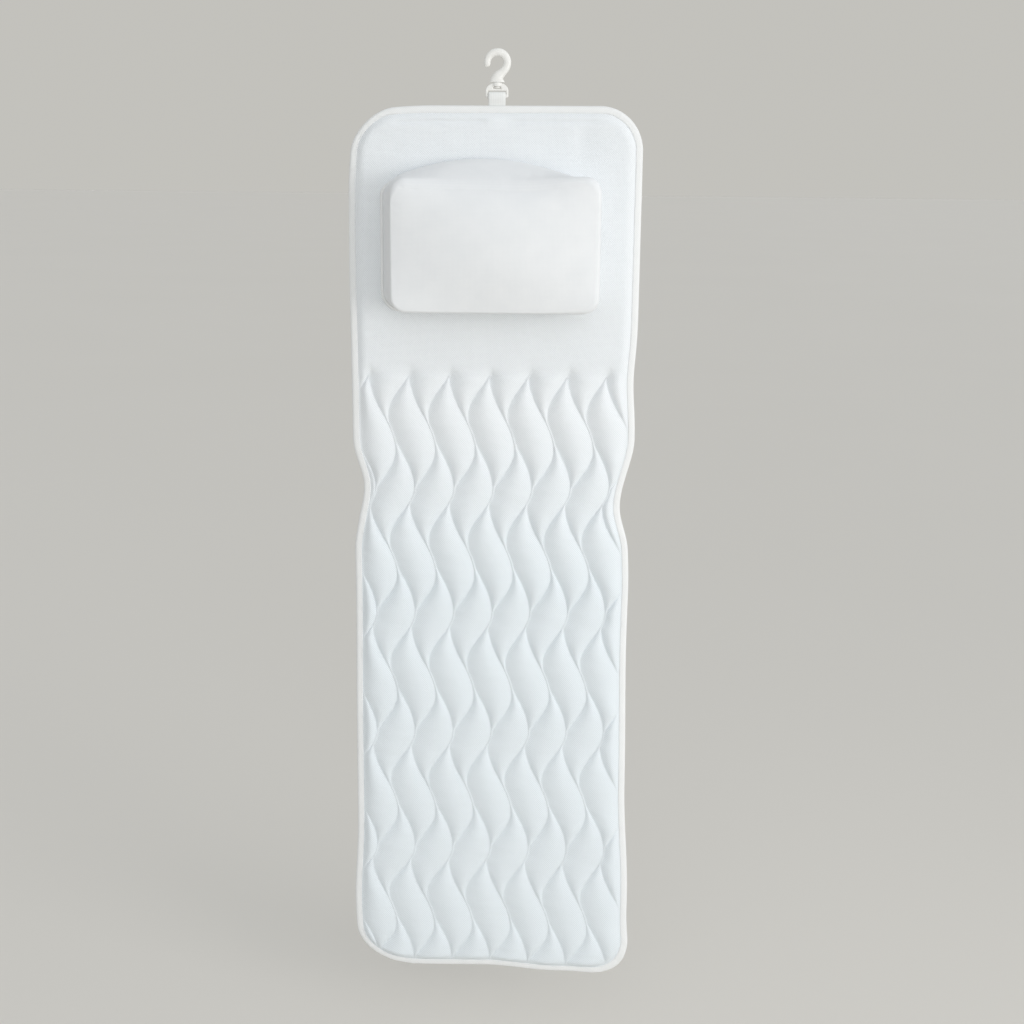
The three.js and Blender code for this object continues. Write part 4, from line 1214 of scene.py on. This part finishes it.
boss += [(boss_radius - boss_bevel, base_top), (0, base_top)]
carve(base, upright("boss", boss), "UNION")
bore_low, bore_high = recess_top - bore_past, base_top + bore_past
bore = [(0, bore_low), (bore_radius, bore_low), (bore_radius, bore_high), (0, bore_high)]
carve(base, upright("bore", bore))
base.data.polygons.foreach_set("use_smooth", [True] * len(base.data.polygons))
base.data.set_sharp_from_angle(angle=crease_angle)

hook_plastic, tree, shader = new_finish("hook_plastic_white", roughness=0.3)
flow = speckle(tree, own_places(tree), scale=90.0, detail=3.0)
dye(tree, shader, flow, plastic_dark, plastic_light)
gloss(tree, shader, flow, low=0.24, high=0.42)
grain = speckle(tree, own_places(tree), scale=1400.0, detail=2.0)
emboss(tree, shader, grain, strength=0.08, distance=0.0001)
base.data.materials.clear()
base.data.materials.append(hook_plastic)
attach(base, "base")
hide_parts("swivel_base")


# Hook: white plastic moulded in two half tools, so that a fine parting line runs round it. A tapered tip, a
# round bow and an S-shaped shank end in a collar, below which a pin with a knob turns in the base.
bow_radius = 0.0134
bow_middle = -0.0086
bow_steps = 49
rod_width = 0.0103
rod_depth = 0.0080
rod_sides = 36
parting = 0.00012
tip_width = 0.0084
tip_angle = math.radians(188)
tip_shares = (0.995, 0.97, 0.92, 0.84, 0.72, 0.56, 0.38, 0.18)
shank_angle = math.radians(-35)
shank_pull = 0.010
shank_steps = 25
flare_width = 0.0100
flare_depth = 0.0036
flare_power = 1.8
collar = -0.0340
collar_radius = 0.0050
pin_radius = 0.0032
knob_top = recess_top - 0.0003
knob = [(0.0044, 0), (0.0046, -0.0003), (0.0046, -0.0012), (0.0040, -0.0020), (0.0030, -0.0024)]
hook_crease = math.radians(50)


def rod_ring(x, z, ahead_x, ahead_z, width, depth, seam=parting):
    """Places round the hook's rod, with the parting line standing out on both sides."""
    ring = []
    for k in range(rod_sides):
        a = 2 * math.pi * k / rod_sides
        across = (width / 2 + (seam if k % (rod_sides // 2) == 0 else 0)) * math.cos(a)
        ring.append((x - ahead_z * across, depth / 2 * math.sin(a), z + ahead_x * across))
    return ring


def bow_ring(angle, width, seam=parting):
    """Places round the rod at an angle of the hook's bow."""
    x, z = bow_radius * math.cos(angle), bow_middle + bow_radius * math.sin(angle)
    return rod_ring(x, z, math.sin(angle), -math.cos(angle), width, width * rod_depth / rod_width, seam)


rings = []
for share in tip_shares:
    angle = tip_angle + tip_width / 2 * share / bow_radius
    rings.append(bow_ring(angle, tip_width * math.sqrt(1 - share**2), 0))
for share in np.linspace(0, 1, bow_steps):
    width = tip_width + (rod_width - tip_width) * min(1, 2 * share)
    rings.append(bow_ring(tip_angle + (shank_angle - tip_angle) * share, width))
start = np.array([bow_radius * math.cos(shank_angle), bow_middle + bow_radius * math.sin(shank_angle)])
handle = start + shank_pull * np.array([math.sin(shank_angle), -math.cos(shank_angle)])
arrive = np.array([0, collar + shank_pull])
end = np.array([0, collar])
for t in np.linspace(0, 1, shank_steps)[1:]:
    u = 1 - t
    spot = u**3 * start + 3 * u**2 * t * handle + 3 * u * t**2 * arrive + t**3 * end
    way = 3 * u**2 * (handle - start) + 6 * u * t * (arrive - handle) + 3 * t**2 * (end - arrive)
    way /= np.linalg.norm(way)
    flare = t**flare_power
    rings.append(rod_ring(*spot, *way, rod_width + flare_width * flare, rod_depth + flare_depth * flare))
pin = [(collar_radius, collar), (pin_radius, collar), (pin_radius, knob_top)]
for radius, z in pin + [(radius, knob_top + z) for radius, z in knob]:
    rings.append(rod_ring(0, z, 0, -1, 2 * radius, 2 * radius, 0))
index = np.arange(len(rings) * rod_sides).reshape(len(rings), rod_sides)
faces = tube_faces(index).tolist() + [index[0], index[-1][::-1]]
hook = face_out(piece("hook", np.array(rings).reshape(-1, 3), faces))
hook.data.set_sharp_from_angle(angle=hook_crease)
hook.data.materials.append(hook_plastic)
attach(hook, "hook")
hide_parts("hanger_hook")


# Studio: a plain pale floor under the hanging mat, before an even backdrop. A broad lamp lights it from the
# right and a weak one from the front, and the air of the room is brighter on the right than on the left.
floor_level = -1.43
floor_reach = 80
floor_dark = (0.693, 0.666, 0.620)
floor_light = (0.699, 0.672, 0.626)
bright_side = (0.70, -0.70, -0.10)
air_colour = (0.96, 0.985, 1.0, 1)
backdrop_colour = (0.545, 0.537, 0.505, 1)
camera_place = (0.0260, -2.09, -0.1488)
camera_lens = 52.69
camera_sensor = 36.0
camera_dip = 12.85
camera_roll = 0.60

corners = [(-1, -1), (1, -1), (1, 1), (-1, 1)]
floor = piece("floor", [(x * floor_reach, y * floor_reach, floor_level) for x, y in corners], [(0, 1, 2, 3)])
floor_paint, tree, shader = new_finish("floor_paint", roughness=0.9)
patch = speckle(tree, own_places(tree), scale=0.6, detail=2.0)
dye(tree, shader, patch, floor_dark, floor_light)
floor.data.materials.append(floor_paint)

world = bpy.data.worlds.new("studio")
bpy.context.scene.world = world
world.use_nodes = True
tree = world.node_tree
tree.nodes.clear()
way = node(tree, "TexCoord").outputs["Generated"]
facing = node(tree, "VectorMath", {0: way, 1: bright_side}, operation="DOT_PRODUCT").outputs["Value"]
side_light = span(tree, facing, from_min=-1.0, to_min=0.26, to_max=1.15)
behind = node(tree, "SeparateXYZ", {"Vector": way}).outputs["Y"]
rear_light = span(tree, behind, from_min=0.25, to_max=0.75)
level = reckon(tree, "ADD", side_light, rear_light)
air = node(tree, "Background", {"Color": air_colour, "Strength": level}).outputs[0]
backdrop = node(tree, "Background", {"Color": backdrop_colour, "Strength": 1.0}).outputs[0]
rays = node(tree, "LightPath").outputs
seen = reckon(tree, "MAXIMUM", rays["Is Camera Ray"], rays["Is Glossy Ray"])
seen = reckon(tree, "MAXIMUM", seen, rays["Is Transmission Ray"])
room = node(tree, "MixShader", {0: seen, 1: air, 2: backdrop}).outputs[0]
node(tree, "OutputWorld", {"Surface": room})


def lamp(name, kind, place, target, **settings):
    """A soft lamp at a place, turned towards a target, with the settings of its light."""
    light = bpy.data.lights.new(name, kind)
    for key, value in settings.items():
        setattr(light, key, value)
    made = placed(name, light)
    made.location = place
    made.rotation_mode = "QUATERNION"
    made.rotation_quaternion = (Vector(target) - Vector(place)).to_track_quat("-Z", "Y")
    made.visible_camera = False


lamp(
    "key_box",
    "AREA",
    place=(1.95, -1.75, -0.35),
    target=(0, 0, -0.45),
    energy=8.4,
    color=(1.0, 0.99, 0.975),
    size=1.3,
    spread=math.radians(110),
)
lamp(
    "front_lamp",
    "SUN",
    place=(-0.3, -2.0, 0.2),
    target=(0, 0, -0.2),
    energy=0.25,
    color=(0.95, 0.98, 1.0),
    angle=math.radians(60),
)

camera = placed("camera", bpy.data.cameras.new("camera"))
camera.data.lens = camera_lens
camera.data.sensor_width = camera_sensor
camera.location = camera_place
tilt = Matrix.Rotation(math.radians(90 - camera_dip), 4, "X")
look = tilt @ Matrix.Rotation(math.radians(camera_roll), 4, "Z")
camera.rotation_mode = "QUATERNION"
camera.rotation_quaternion = look.to_quaternion()
bpy.context.scene.camera = camera
bpy.context.scene.view_settings.view_transform = "Standard"
